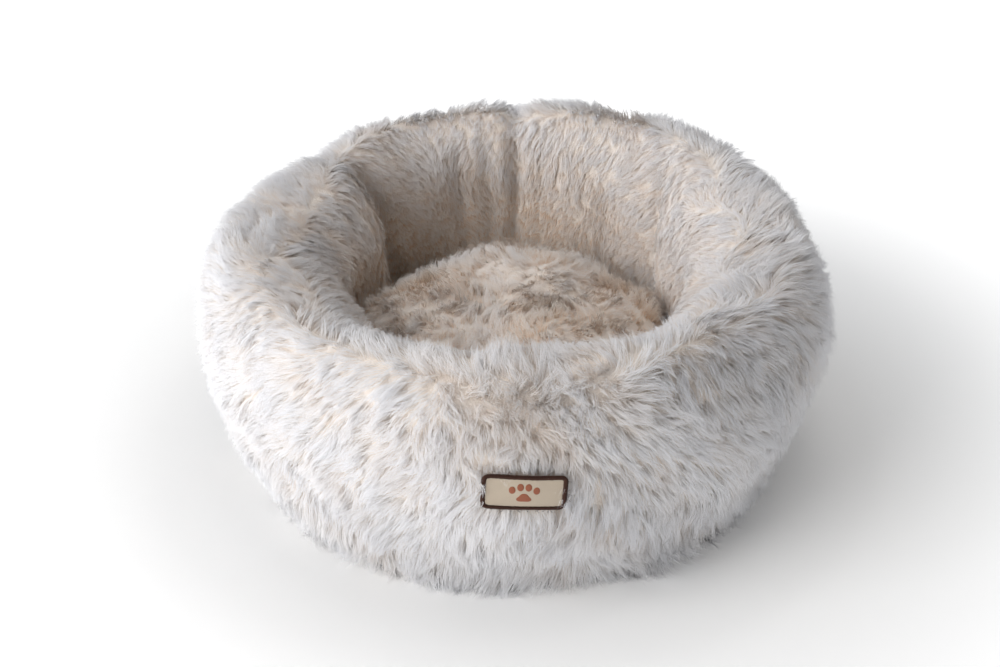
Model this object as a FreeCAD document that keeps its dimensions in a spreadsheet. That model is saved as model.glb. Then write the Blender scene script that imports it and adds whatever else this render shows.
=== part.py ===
"""Round high-walled plush pet bed: a puffed fur ring wall on a non-slip base, with a loose cushion in its well.

Millimetres, +Z up, +X to the right and -Y towards the labelled front. The origin is the centre of the face that the
bed stands on. Every soft shell is measured over its lying pile.
"""
import FreeCAD, Part  # noqa: E401
import Sketcher
import math
import os

V = FreeCAD.Vector

# Driving sizes: alias, value in mm (degrees where the name says so), what it is
SIZES = [
    ("bed_radius", 255.0, "widest ring of the wall, over the pile"),
    ("bed_height", 210.0, "crest of the wall above the floor"),
    ("wall_width", 115.0, "belly of the outside to belly of the inside"),
    ("crest_rise", 84.0, "crest above the widest ring"),
    ("inner_crest_rise", 70.0, "crest above the narrowest ring of the well"),
    ("foot_tuck", 48.0, "how far the outer foot tucks in under the belly"),
    ("inner_foot_tuck", 5.0, "how far the inner foot stands back from the narrowest ring"),
    ("crest_lean", 2.0, "crest outside of the middle of the wall"),
    ("crest_round", 34.0, "radius of the rounding along the crest"),
    ("pile_depth", 12.0, "fur backing and lying pile of the wall"),
    ("filling_room", 2.4, "loose room between wall skin and filling"),
    ("fit_gap", 0.2, "room between pieces that lie on each other"),
    ("base_thickness", 1.6, "non-slip base sheet"),
    ("dot_radius", 3.0, "rubber grip dot"),
    ("dot_depth", 0.8, "how deep a dot is set into the base sheet"),
    ("dot_pitch", 28.0, "spacing of the rings of dots, and of dots along a ring"),
    ("seam_thickness", 1.0, "two sewn edges pressed together"),
    ("seam_width", 12.0, "width of a sewn edge"),
    ("thread_radius", 0.4, "overlock thread"),
    ("lining_thickness", 1.2, "cloth floor of the well"),
    ("binding_width", 12.0, "tape behind the back seam"),
    ("binding_thickness", 0.8, "the same tape"),
    ("cushion_room", 3.0, "room between the cushion's edge and the narrowest ring"),
    ("cushion_top", 130.0, "crown of the cushion above the floor"),
    ("cushion_seam_height", 60.0, "height of the cushion's edge seam"),
    ("cushion_edge_round", 30.0, "rounding of the cushion's shoulder"),
    ("cushion_pile", 9.5, "fur of the cushion's top"),
    ("under_cloth", 1.2, "plain cloth under the cushion"),
    ("label_width", 60.0, "patch over its border"),
    ("label_height", 30.0, "the same patch"),
    ("label_corner", 4.0, "corner rounding of the patch"),
    ("label_border_width", 3.0, "overlocked border of the patch"),
    ("label_level", 118.0, "height of the middle of the patch"),
    ("label_offset", 7.0, "middle of the patch to the right of centre"),
    ("label_tilt_degrees", 3.0, "lean of the patch, clockwise seen from the front"),
    ("care_width", 22.0, "care tag along the seam"),
    ("care_reach", 24.0, "how far the care tag stands out of the seam"),
    ("care_cloth", 0.3, "one layer of the care tag"),
]

# Depths below the pile line of the wall at which the layers of the label begin and end
LABEL_STITCH_TOP = 0.2
LABEL_BORDER_TOP = 0.5
LABEL_PATCH_TOP = 1.0
LABEL_MOTIF_TOP = 0.7
LABEL_BACK = 2.2
LABEL_RECESS = 2.5

# The paw print, as shares of the label's height and of the spread of the toes
PAW_TOE = 1 / 11
PAW_PAD = 1 / 7
PAW_SPREAD = 1 / 5
PAW_TOE_PITCH = 0.95
PAW_INNER_TOE_RISE = 1.1
PAW_OUTER_TOE_RISE = 0.65

# Stitches that hold the label
STITCH_LENGTH = 2.4
STITCH_PITCH = 3.6
STITCH_WIDTH = 0.5

doc = FreeCAD.newDocument("pet_bed")
sheet = doc.addObject("Spreadsheet::Sheet", "Sizes")
for row, (alias, number, meaning) in enumerate(SIZES, start=1):
    sheet.set(f"A{row}", alias)
    sheet.set(f"B{row}", str(number))
    sheet.set(f"C{row}", meaning)
    sheet.setAlias(f"B{row}", alias)
doc.recompute()
size = {alias: float(sheet.get(alias)) for alias, _, _ in SIZES}

subparts = {}


def keep(node, thing):
    """Names a finished sub-part, so that it is checked and written as its node."""
    thing.Label = node
    subparts[node] = thing
    return thing


def bound(expression):
    """A sum written with the sheet's aliases in angle brackets, as FreeCAD binds it."""
    return expression.replace("<", "Sizes.").replace(">", "")


def value(expression):
    """The same sum as a number now."""
    for alias, number in size.items():
        expression = expression.replace(f"<{alias}>", f"({number!r})")
    return FreeCAD.Units.Quantity(expression).Value


# ---------------------------------------------------------------- sketches


class Outline:
    """A sketch on the XZ plane (radius to the right, height up) whose every size is bound to the sheet."""

    def __init__(self, sketch):
        self.sketch = sketch

    def constrain(self, kind, *where, name=None, to=None):
        """Adds a constraint, and binds it when it carries a size."""
        if to is None:
            self.sketch.addConstraint(Sketcher.Constraint(kind, *where))
            return
        index = self.sketch.addConstraint(Sketcher.Constraint(kind, *where, value(to)))
        self.sketch.renameConstraint(index, name)
        self.sketch.setExpression(f"Constraints.{name}", bound(to))

    def place(self, item, vertex, name, x=None, y=None):
        """Fixes a vertex's distance right of the axis and above the floor."""
        if x is not None:
            self.constrain("DistanceX", -1, 1, item, vertex, name=f"{name}_x", to=x)
        if y is not None:
            self.constrain("DistanceY", -1, 1, item, vertex, name=f"{name}_y", to=y)

    def arc(self, centre, radius, start, end):
        """An arc about a centre, anticlockwise from one angle to another, in radians."""
        circle = Part.Circle(V(centre[0], centre[1], 0), V(0, 0, 1), radius)
        return self.sketch.addGeometry(Part.ArcOfCircle(circle, start, end), False)

    def line(self, start, end):
        """A straight line from point to point."""
        return self.sketch.addGeometry(Part.LineSegment(V(*start, 0), V(*end, 0)), False)

    def join(self, one, one_vertex, other, other_vertex):
        """Joins two ends."""
        self.constrain("Coincident", one, one_vertex, other, other_vertex)


START, END, CENTRE = 1, 2, 3


def shoulder_radius(reach, rise, tight):
    """Radius of the arc that runs from a vertical side into a tighter rounding, a reach in and a rise up."""
    return (reach**2 + (rise - tight) ** 2 - tight**2) / (2 * (reach - tight))


def foot_radius(tuck, drop):
    """Radius of the arc that leaves a vertical side and tucks in over a drop."""
    return (tuck**2 + drop**2) / (2 * tuck)


def arch(outline, inset, foot, tag):
    """Five arcs of the wall's section at a depth below the pile: foot, belly, crest, inner belly, inner foot.

    Returns the ends of the arch as (geometry, vertex) pairs: the outer foot and the inner foot.
    """
    inset = f"({inset})"
    belly = f"(<bed_radius> - {inset})"
    belly_level = "(<bed_height> - <crest_rise>)"
    outer_foot = f"(<bed_radius> - <foot_tuck> - {inset})"
    crest = "(<bed_radius> - <wall_width> / 2 + <crest_lean>)"
    crest_level = f"(<bed_height> - {inset})"
    tight = f"(<crest_round> - {inset})"
    inner = f"(<bed_radius> - <wall_width> + {inset})"
    inner_level = "(<bed_height> - <inner_crest_rise>)"
    inner_foot = f"(<bed_radius> - <wall_width> + <inner_foot_tuck> + {inset})"

    r_belly, r_foot, r_crest, r_tight = value(belly), value(outer_foot), value(crest), value(tight)
    r_inner, r_inner_foot = value(inner), value(inner_foot)
    z_belly, z_inner, z_crest, z_foot = value(belly_level), value(inner_level), value(crest_level), value(foot)

    low = foot_radius(r_belly - r_foot, z_belly - z_foot)
    high = shoulder_radius(r_belly - r_crest, z_crest - z_belly, r_tight)
    inner_high = shoulder_radius(r_crest - r_inner, z_crest - z_inner, r_tight)
    inner_low = foot_radius(r_inner_foot - r_inner, z_inner - z_foot)

    low_centre = (r_belly - low, z_belly)
    high_centre = (r_belly - high, z_belly)
    crest_centre = (r_crest, z_crest - r_tight)
    inner_high_centre = (r_inner + inner_high, z_inner)
    inner_low_centre = (r_inner + inner_low, z_inner)
    turn = math.atan2(crest_centre[1] - high_centre[1], crest_centre[0] - high_centre[0])
    inner_turn = math.atan2(crest_centre[1] - inner_high_centre[1], crest_centre[0] - inner_high_centre[0])
    foot_turn = math.asin((z_foot - z_belly) / low)
    inner_foot_turn = math.pi + math.asin((z_inner - z_foot) / inner_low)

    a = outline.arc(low_centre, low, foot_turn, 0)
    b = outline.arc(high_centre, high, 0, turn)
    c = outline.arc(crest_centre, r_tight, turn, inner_turn)
    d = outline.arc(inner_high_centre, inner_high, inner_turn, math.pi)
    e = outline.arc(inner_low_centre, inner_low, math.pi, inner_foot_turn)

    outline.place(a, START, f"{tag}_foot", outer_foot, foot)
    outline.place(a, END, f"{tag}_belly", belly, belly_level)
    outline.place(a, CENTRE, f"{tag}_low", y=belly_level)
    outline.join(a, END, b, START)
    outline.place(b, CENTRE, f"{tag}_high", y=belly_level)
    outline.constrain("Tangent", b, END, c, START)
    outline.place(c, CENTRE, f"{tag}_crest", crest, f"{crest_level} - {tight}")
    outline.constrain("Radius", c, name=f"{tag}_crest_round", to=tight)
    outline.constrain("Tangent", c, END, d, START)
    outline.place(d, CENTRE, f"{tag}_inner_high", y=inner_level)
    outline.place(d, END, f"{tag}_inner", inner, inner_level)
    outline.join(d, END, e, START)
    outline.place(e, CENTRE, f"{tag}_inner_low", y=inner_level)
    outline.place(e, END, f"{tag}_inner_foot", inner_foot, foot)
    return (a, START), (e, END)


def dome(outline, inset, level, tag):
    """Two arcs of the cushion's top at a depth below its pile, from the edge at a level up to the axis.

    Returns the edge end and the crown end as (geometry, vertex) pairs.
    """
    inset = f"({inset})"
    edge = f"(<bed_radius> - <wall_width> - <cushion_room> - {inset})"
    crown = f"(<cushion_top> - {inset})"
    tight = f"(<cushion_edge_round> - {inset})"
    r_edge, z_crown, r_tight, z_level = value(edge), value(crown), value(tight), value(level)
    reach, rise = r_edge - r_tight, z_crown - z_level
    broad = (reach**2 + rise**2 - r_tight**2) / (2 * (rise - r_tight))
    shoulder_centre = (reach, z_level)
    broad_centre = (0, z_crown - broad)
    turn = math.atan2(z_level - broad_centre[1], reach)
    shoulder = outline.arc(shoulder_centre, r_tight, 0, turn)
    top = outline.arc(broad_centre, broad, turn, math.pi / 2)
    outline.place(shoulder, CENTRE, f"{tag}_shoulder", f"{edge} - {tight}", level)
    outline.constrain("Radius", shoulder, name=f"{tag}_round", to=tight)
    outline.place(shoulder, START, f"{tag}_edge", y=level)
    outline.constrain("Tangent", shoulder, END, top, START)
    outline.constrain("PointOnObject", top, CENTRE, -2)
    outline.constrain("PointOnObject", top, END, -2)
    outline.place(top, END, f"{tag}_crown", y=crown)
    return (shoulder, START), (top, END)


def point(outline, end):
    """Where an end of a sketch's geometry lies."""
    where = outline.sketch.getPoint(*end)
    return where.x, where.y


def close(outline, one, other, level=True):
    """Closes two ends with a straight line."""
    line = outline.line(point(outline, one), point(outline, other))
    outline.join(line, START, *one)
    outline.join(line, END, *other)
    return line


# ---------------------------------------------------------------- bodies


def plane(body, role):
    """One of a body's own origin planes."""
    return next(item for item in body.Origin.OriginFeatures if item.Role == role)


def turned_body(name, draw, angle=360.0):
    """A body turned about the Z axis from an outline that draw() puts in its sketch."""
    body = doc.addObject("PartDesign::Body", name)
    sketch = body.newObject("Sketcher::SketchObject", f"{name}_outline")
    sketch.AttachmentSupport = (plane(body, "XZ_Plane"), [""])
    sketch.MapMode = "FlatFace"
    draw(Outline(sketch))
    doc.recompute()
    turn = body.newObject("PartDesign::Revolution", f"{name}_turn")
    turn.Profile = sketch
    turn.ReferenceAxis = (sketch, ["V_Axis"])
    turn.Angle = angle
    doc.recompute()
    return body


def ring(name, inner, outer, bottom, top):
    """A flat turned ring or disc between four bound sizes; an inner size of None makes a disc."""

    def draw(outline):
        r0, r1 = (0.0 if inner is None else value(inner)), value(outer)
        z0, z1 = value(bottom), value(top)
        corners = [(r0, z0), (r1, z0), (r1, z1), (r0, z1)]
        sides = [outline.line(corners[i], corners[(i + 1) % 4]) for i in range(4)]
        for i in range(4):
            outline.join(sides[i], END, sides[(i + 1) % 4], START)
        outline.constrain("Horizontal", sides[0])
        outline.constrain("Horizontal", sides[2])
        outline.constrain("Vertical", sides[1])
        outline.constrain("Vertical", sides[3])
        outline.place(sides[1], START, "outer_low", outer, bottom)
        outline.place(sides[1], END, "outer_high", y=top)
        if inner is None:
            outline.constrain("PointOnObject", sides[3], START, -2)
        else:
            outline.place(sides[3], START, "inner_high", inner)

    return turned_body(name, draw)


def arch_shell(name, near, far, foot):
    """The wall's section between two depths below the pile, turned all the way round."""

    def draw(outline):
        outer = arch(outline, near, foot, "outer")
        inner = arch(outline, far, foot, "inner")
        close(outline, outer[0], inner[0])
        close(outline, outer[1], inner[1])

    return turned_body(name, draw)


def thread_ring(node, radius, level):
    """A thread sewn round a ring."""
    torus = doc.addObject("Part::Torus", node)
    torus.setExpression("Radius1", bound(radius))
    torus.setExpression("Radius2", bound("<thread_radius>"))
    torus.setExpression("Placement.Base.z", bound(level))
    return keep(node, torus)


# ---------------------------------------------------------------- heights and radii that pieces share

SEAM_LEVEL = "(<base_thickness> + <fit_gap>)"
WALL_FOOT = "(<base_thickness> + 2 * <fit_gap> + <seam_thickness>)"
SKIN_FOOT = "(<bed_radius> - <foot_tuck> - <pile_depth>)"
WELL_SKIN_FOOT = "(<bed_radius> - <wall_width> + <inner_foot_tuck> + <pile_depth>)"
FOOT_RADIUS = f"({SKIN_FOOT} + <seam_width>)"
WELL_FOOT_RADIUS = f"({WELL_SKIN_FOOT} - <seam_width>)"
FILLING_INSET = "(<pile_depth> + <filling_room>)"
LINING_TOP = "(<base_thickness> + <fit_gap> + <lining_thickness>)"
CUSHION_FLOOR = f"({LINING_TOP} + 1.5 * <fit_gap>)"
CUSHION_RADIUS = "(<bed_radius> - <wall_width> - <cushion_room>)"
CUSHION_FILLING_RADIUS = f"({CUSHION_RADIUS} - <cushion_pile> - <fit_gap>)"


# ---------------------------------------------------------------- base


def grip_dots():
    """Rubber dots in rings, set flush into the underside of the base sheet, none at the centre."""
    dots = []
    rings = int(value(SKIN_FOOT) / size["dot_pitch"])
    for ring_number in range(1, rings + 1):
        radius = ring_number * size["dot_pitch"]
        count = round(2 * math.pi * radius / size["dot_pitch"])
        for k in range(count):
            angle = 2 * math.pi * k / count
            centre = V(radius * math.cos(angle), radius * math.sin(angle), 0)
            dots.append(Part.makeCylinder(size["dot_radius"], size["dot_depth"], centre))
    group = doc.addObject("Part::Feature", "base_grip_dots")
    group.Shape = Part.makeCompound(dots)
    return keep("base_grip_dots", group)


def base():
    """Non-slip sheet with its dots, and the sewn edge that joins it to the wall's outer foot."""
    blank = ring("base_blank", None, FOOT_RADIUS, "0", "<base_thickness>")
    dots = grip_dots()
    base_sheet = doc.addObject("Part::Cut", "base_sheet")
    base_sheet.Base = blank
    base_sheet.Tool = dots
    keep("base_sheet", base_sheet)
    seam_top = f"{SEAM_LEVEL} + <seam_thickness>"
    keep("base_edge_seam", ring("base_edge_seam", SKIN_FOOT, f"{FOOT_RADIUS} - 1", SEAM_LEVEL, seam_top))
    middle = f"{SEAM_LEVEL} + <seam_thickness> / 2"
    thread_ring("base_seam_thread", f"{SKIN_FOOT} - <thread_radius> - <fit_gap>", middle)


def well_floor():
    """Cloth floor of the well, and the sewn edge that joins it to the wall's inner foot."""
    lining_edge = f"{WELL_FOOT_RADIUS} - <fit_gap>"
    keep("well_floor_lining", ring("well_floor_lining", None, lining_edge, SEAM_LEVEL, LINING_TOP))
    seam_top = f"{SEAM_LEVEL} + <seam_thickness>"
    keep("well_edge_seam", ring("well_edge_seam", WELL_FOOT_RADIUS, WELL_SKIN_FOOT, SEAM_LEVEL, seam_top))
    middle = f"{SEAM_LEVEL} + <seam_thickness> / 2"
    thread_ring("well_seam_thread", f"{WELL_SKIN_FOOT} + <thread_radius> + <fit_gap>", middle)


# ---------------------------------------------------------------- wall


def wall_filling():
    """Fibre ring inside the wall skin."""

    def draw(outline):
        ends = arch(outline, FILLING_INSET, WALL_FOOT, "filling")
        close(outline, *ends)

    keep("wall_filling", turned_body("wall_filling", draw))


def rounded_prism(name, width, height, corner):
    """A rounded rectangle, extruded towards the back from in front of the bed, where the label lies."""
    sketch = doc.addObject("Sketcher::SketchObject", f"{name}_outline")
    outline = Outline(sketch)
    half_w, half_h, round_r = value(width) / 2, value(height) / 2, value(corner)
    in_w, in_h = half_w - round_r, half_h - round_r
    sides = [
        outline.line((-in_w, -half_h), (in_w, -half_h)),
        outline.line((half_w, -in_h), (half_w, in_h)),
        outline.line((in_w, half_h), (-in_w, half_h)),
        outline.line((-half_w, in_h), (-half_w, -in_h)),
    ]
    quarter = math.pi / 2
    centres = [(in_w, -in_h), (in_w, in_h), (-in_w, in_h), (-in_w, -in_h)]
    corners = [outline.arc(c, round_r, (k - 1) * quarter, k * quarter) for k, c in enumerate(centres)]
    for k in range(4):
        outline.constrain("Tangent", sides[k], END, corners[k], START)
        outline.constrain("Tangent", corners[k], END, sides[(k + 1) % 4], START)
    for k in range(1, 4):
        outline.constrain("Equal", corners[0], corners[k])
    outline.constrain("Horizontal", sides[0])
    outline.constrain("Vertical", sides[1])
    outline.constrain("Radius", corners[0], name="corner", to=corner)
    outline.constrain("DistanceX", -1, 1, sides[1], START, name="half_width", to=f"({width}) / 2")
    outline.constrain("DistanceX", sides[3], START, -1, 1, name="other_half_width", to=f"({width}) / 2")
    outline.constrain("DistanceY", -1, 1, sides[2], START, name="half_height", to=f"({height}) / 2")
    outline.constrain("DistanceY", sides[0], START, -1, 1, name="other_half_height", to=f"({height}) / 2")
    prism = doc.addObject("Part::Extrusion", name)
    prism.Base = sketch
    prism.Dir = V(0, 0, 1)
    prism.setExpression("LengthFwd", bound("<bed_radius> / 2"))
    prism.Solid = True
    lay_on_front(prism)
    return prism


def lay_on_front(prism):
    """Turns a shape drawn on XY to face the front, tilts it as the label and centres it on the label."""
    stand = FreeCAD.Rotation(V(1, 0, 0), 90)
    tilt = FreeCAD.Rotation(V(0, 1, 0), size["label_tilt_degrees"])
    prism.Placement = FreeCAD.Placement(V(0, 0, 0), tilt * stand)
    prism.setExpression("Placement.Base.x", bound("<label_offset>"))
    prism.setExpression("Placement.Base.y", bound("-<bed_radius> * 0.6"))
    prism.setExpression("Placement.Base.z", bound("<label_level>"))


def cut(name, base_object, tool):
    """Cuts one object with another."""
    result = doc.addObject("Part::Cut", name)
    result.Base = base_object
    result.Tool = tool
    return result


def common(name, base_object, tool):
    """What two objects share."""
    result = doc.addObject("Part::Common", name)
    result.Base = base_object
    result.Tool = tool
    return result


def label_layer(name, near, far, prism):
    """A layer of the label: the wall's own curved shell between two depths, inside a prism."""
    shell = arch_shell(f"{name}_shell", str(near), str(far), "(<label_level> / 2)")
    return common(name, shell, prism)


def paw():
    """Prism of a generic paw print: one broad pad and four toes, centred on the label."""
    toe = size["label_height"] * PAW_TOE
    pad = size["label_height"] * PAW_PAD
    spread = size["label_height"] * PAW_SPREAD
    reach = size["bed_radius"] / 2
    pieces = [Part.makeCylinder(pad, reach, V(0, -spread / 2, 0))]
    rises = (PAW_OUTER_TOE_RISE, PAW_INNER_TOE_RISE, PAW_INNER_TOE_RISE, PAW_OUTER_TOE_RISE)
    for k, rise in enumerate(rises):
        across = (k - (len(rises) - 1) / 2) * spread * PAW_TOE_PITCH
        pieces.append(Part.makeCylinder(toe, reach, V(across, spread * rise, 0)))
    group = doc.addObject("Part::Feature", "paw_prism")
    group.Shape = Part.makeCompound(pieces)
    lay_on_front(group)
    return group


def stitch_prisms():
    """Short straight stitches along the middle of the label's border."""
    half_w = (size["label_width"] - size["label_border_width"]) / 2
    half_h = (size["label_height"] - size["label_border_width"]) / 2
    inner_w = half_w - size["label_corner"]
    inner_h = half_h - size["label_corner"]
    pieces = []
    for reach, side, along in ((inner_w, half_h, True), (inner_h, half_w, False)):
        count = int(2 * reach / STITCH_PITCH)
        for sign in (-1, 1):
            for k in range(count):
                middle = (k - (count - 1) / 2) * STITCH_PITCH
                length, height = (STITCH_LENGTH, STITCH_WIDTH) if along else (STITCH_WIDTH, STITCH_LENGTH)
                x, y = (middle, sign * side) if along else (sign * side, middle)
                corner = V(x - length / 2, y - height / 2, 0)
                pieces.append(Part.makeBox(length, height, size["bed_radius"] / 2, corner))
    group = doc.addObject("Part::Feature", "stitch_prism")
    group.Shape = Part.makeCompound(pieces)
    lay_on_front(group)
    return group


def wall():
    """The wall's fur skin with a flattened place for the label, and the taped seam that closes it at the back."""
    skin = arch_shell("wall_skin", "0", "<pile_depth>", WALL_FOOT)
    room = "2 * <fit_gap>"
    recess_prism = rounded_prism(
        "recess_prism", f"<label_width> + {room}", f"<label_height> + {room}", "<label_corner> + <fit_gap>"
    )
    recess = label_layer("label_recess", -3, LABEL_RECESS, recess_prism)
    keep("wall_cover", cut("wall_cover", skin, recess))

    binding_shell = arch_shell(
        "binding_shell", "<pile_depth> + <fit_gap>", "<pile_depth> + <fit_gap> + <binding_thickness>", WALL_FOOT
    )
    keep("back_seam_binding", common("back_seam_binding", binding_shell, back_strip("<binding_width>")))
    thread_near = "<pile_depth> + 2 * <fit_gap> + <binding_thickness>"
    thread_shell = arch_shell("thread_shell", thread_near, f"{thread_near} + 2 * <thread_radius>", WALL_FOOT)
    keep("back_seam_thread", common("back_seam_thread", thread_shell, back_strip("2 * <thread_radius>")))


def back_strip(width):
    """A block that takes a strip of the given width out of the back of the wall."""
    block = doc.addObject("Part::Box", "back_strip")
    block.setExpression("Length", bound(width))
    block.setExpression("Width", bound("<bed_radius>"))
    block.setExpression("Height", bound("<bed_height>"))
    block.setExpression("Placement.Base.x", bound(f"-({width}) / 2"))
    return block


def label():
    """Woven patch with its overlocked border, generic paw print and stitches."""
    outer = rounded_prism("label_prism", "<label_width>", "<label_height>", "<label_corner>")
    inside = "2 * <label_border_width>"
    inner = rounded_prism(
        "patch_prism", f"<label_width> - {inside}", f"<label_height> - {inside}", "<label_corner> / 2"
    )
    keep("label_patch", label_layer("label_patch", LABEL_PATCH_TOP, LABEL_BACK, inner))
    frame = cut("border_prism", outer, inner)
    keep("label_border", label_layer("label_border", LABEL_BORDER_TOP, LABEL_BACK, frame))
    keep("label_motif", label_layer("label_motif", LABEL_MOTIF_TOP, LABEL_PATCH_TOP, paw()))
    keep("label_stitches", label_layer("label_stitches", LABEL_STITCH_TOP, LABEL_BORDER_TOP, stitch_prisms()))


def care_label():
    """Blank care tag, a folded tape that stands out of the base seam at the back and lies just above the floor."""
    body = doc.addObject("PartDesign::Body", "care_label")
    sketch = body.newObject("Sketcher::SketchObject", "care_outline")
    sketch.AttachmentSupport = (plane(body, "YZ_Plane"), [""])
    sketch.MapMode = "FlatFace"
    outline = Outline(sketch)
    foot = FOOT_RADIUS
    start, low, cloth = value(foot) + 1, 0.2, size["care_cloth"]
    reach, gap = size["care_reach"], 2 * size["care_cloth"]
    high = low + 2 * cloth + gap
    outer_r, inner_r = cloth + gap / 2, gap / 2
    middle = low + outer_r
    bend = start + reach - outer_r
    quarter = math.pi / 2
    items = [
        outline.line((start, low), (bend, low)),
        outline.arc((bend, middle), outer_r, -quarter, quarter),
        outline.line((bend, high), (start, high)),
        outline.line((start, high), (start, high - cloth)),
        outline.line((start, high - cloth), (bend, high - cloth)),
        outline.arc((bend, middle), inner_r, -quarter, quarter),
        outline.line((bend, low + cloth), (start, low + cloth)),
        outline.line((start, low + cloth), (start, low)),
    ]
    joins = [
        (0, END, 1, START), (1, END, 2, START), (2, END, 3, START), (3, END, 4, START),
        (4, END, 5, END), (5, START, 6, START), (6, END, 7, START), (7, END, 0, START),
    ]  # fmt: skip
    for one, one_vertex, other, other_vertex in joins:
        tangent = {one, other} <= {0, 1, 2} or {one, other} <= {4, 5, 6}
        outline.constrain("Tangent" if tangent else "Coincident",
                          items[one], one_vertex, items[other], other_vertex)
    outline.constrain("Horizontal", items[0])
    outline.constrain("Vertical", items[3])
    outline.constrain("Vertical", items[7])
    outline.constrain("Coincident", items[1], CENTRE, items[5], CENTRE)
    outline.constrain("Radius", items[1], name="fold", to="2 * <care_cloth>")
    outline.constrain("Radius", items[5], name="inner_fold", to="<care_cloth>")
    outline.place(items[0], START, "seam", f"{foot} + 1", "<fit_gap>")
    outline.place(items[1], CENTRE, "fold_centre", f"{foot} + 1 + <care_reach> - 2 * <care_cloth>")
    outline.constrain("DistanceX", -1, 1, items[3], START, name="upper_end", to=f"{foot} + 1")
    doc.recompute()
    pad = body.newObject("PartDesign::Pad", "care_width_pad")
    pad.Profile = sketch
    pad.setExpression("Length", bound("<care_width>"))
    pad.Midplane = True
    doc.recompute()
    keep("care_label", body)


# ---------------------------------------------------------------- cushion


def cushion_cover():
    """Fur top of the cushion, down to its edge seam."""
    level = "(<cushion_seam_height> + <fit_gap> + <seam_thickness> / 2)"

    def draw(outline):
        outer_edge, outer_crown = dome(outline, "0", level, "pile")
        inner_edge, inner_crown = dome(outline, "<cushion_pile>", level, "back")
        close(outline, outer_edge, inner_edge)
        close(outline, outer_crown, inner_crown)

    keep("cushion_top_cover", turned_body("cushion_top_cover", draw))


def lower_arc(outline, inset, level, tag):
    """Quarter arc under the cushion's edge at a depth inside the plain cloth, and the floor level it ends on.

    The three insets of the cushion's underside share one centre, at the edge seam's level.
    """
    edge = f"({CUSHION_FILLING_RADIUS} + {inset})"
    drop = f"(<cushion_seam_height> - {CUSHION_FLOOR} - <under_cloth> - <fit_gap>)"
    radius = f"({drop} + {inset})"
    centre_r, centre_z = value(edge) - value(radius), value("<cushion_seam_height>")
    start_turn = -math.asin((centre_z - value(level)) / value(radius))
    arc = outline.arc((centre_r, centre_z), value(radius), -math.pi / 2, start_turn)
    outline.place(arc, CENTRE, f"{tag}_centre", f"{edge} - {radius}", "<cushion_seam_height>")
    outline.constrain("Radius", arc, name=f"{tag}_radius", to=radius)
    outline.place(arc, END, f"{tag}_edge", y=level)
    outline.place(arc, START, f"{tag}_floor", x=f"{edge} - {radius}")
    return arc


def floor_line(outline, arc):
    """Flat underside, from an arc's low end to the axis."""
    r, z = point(outline, (arc, START))
    line = outline.line((0, z), (r, z))
    outline.join(line, END, arc, START)
    outline.constrain("Horizontal", line)
    outline.constrain("PointOnObject", line, START, -2)
    return line


def cushion_under_cover():
    """Plain cloth underside of the cushion, up to its edge seam."""
    level = "(<cushion_seam_height> - <fit_gap> - <seam_thickness> / 2)"

    def draw(outline):
        outer = lower_arc(outline, "(<fit_gap> + <under_cloth>)", level, "outer")
        inner = lower_arc(outline, "<fit_gap>", level, "inner")
        outer_floor = floor_line(outline, outer)
        inner_floor = floor_line(outline, inner)
        close(outline, (outer, END), (inner, END))
        close(outline, (outer_floor, START), (inner_floor, START))

    keep("cushion_bottom_cover", turned_body("cushion_bottom_cover", draw))


def cushion_core():
    """Fibre filling of the cushion: domed above the edge seam, flat below."""
    seam = "<cushion_seam_height>"

    def draw(outline):
        edge, crown = dome(outline, "(<cushion_pile> + <fit_gap>)",
                           "(<cushion_seam_height> + <fit_gap> + <seam_thickness> / 2)", "top")
        lower = lower_arc(outline, "0", seam, "lower")
        floor = floor_line(outline, lower)
        close(outline, (lower, END), edge)
        close(outline, crown, (floor, START))

    keep("cushion_filling", turned_body("cushion_filling", draw))


def cushion_seam():
    """Sewn edge that joins the cushion's two covers, and its thread."""
    inner = f"{CUSHION_FILLING_RADIUS} + <fit_gap>"
    outer = f"{CUSHION_RADIUS} - <thread_radius> * 4 - <fit_gap>"
    low = "<cushion_seam_height> - <seam_thickness> / 2"
    high = "<cushion_seam_height> + <seam_thickness> / 2"
    keep("cushion_edge_seam", ring("cushion_edge_seam", inner, outer, low, high))
    thread_ring("cushion_seam_thread", f"{CUSHION_RADIUS} - <thread_radius> * 2", "<cushion_seam_height>")


def check():
    """Stops when any object of the document failed or any sub-part has no sound solid."""
    for thing in doc.Objects:
        bad = {"Invalid", "Error"} & set(thing.State)
        if bad:
            raise RuntimeError(f"{thing.Name} is {bad}")
    for node, thing in subparts.items():
        shape = thing.Shape
        if shape.isNull() or not shape.isValid() or not shape.Solids:
            raise RuntimeError(f"{node} has no sound shape")


def write():
    """Writes each sub-part to its own file."""
    os.makedirs("parts", exist_ok=True)
    for node, thing in sorted(subparts.items()):
        thing.Shape.exportStep(f"parts/{node}.step")
        box = thing.Shape.optimalBoundingBox()
        print(f"{node:22} solids {len(thing.Shape.Solids):4}  volume {thing.Shape.Volume / 1000:10.2f} cm3"
              f"  z {box.ZMin:7.2f} {box.ZMax:7.2f}  r {max(box.XMax, box.YMax, -box.YMin):7.2f}")


base()
well_floor()
wall_filling()
wall()
label()
care_label()
cushion_cover()
cushion_under_cover()
cushion_core()
cushion_seam()
doc.recompute()
check()
write()
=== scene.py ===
"""Looks of a round plush pet bed: a puffed ring wall and a loose cushion in long cream fur, with a patch.

Metres, +Z up, -Y towards the patch. Sizes are read off the frame or are named fields of the class that
uses them.
"""
import logging
import math
from dataclasses import dataclass, field
from enum import Enum

import bpy
import numpy as np
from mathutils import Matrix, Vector
from mathutils.kdtree import KDTree


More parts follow.
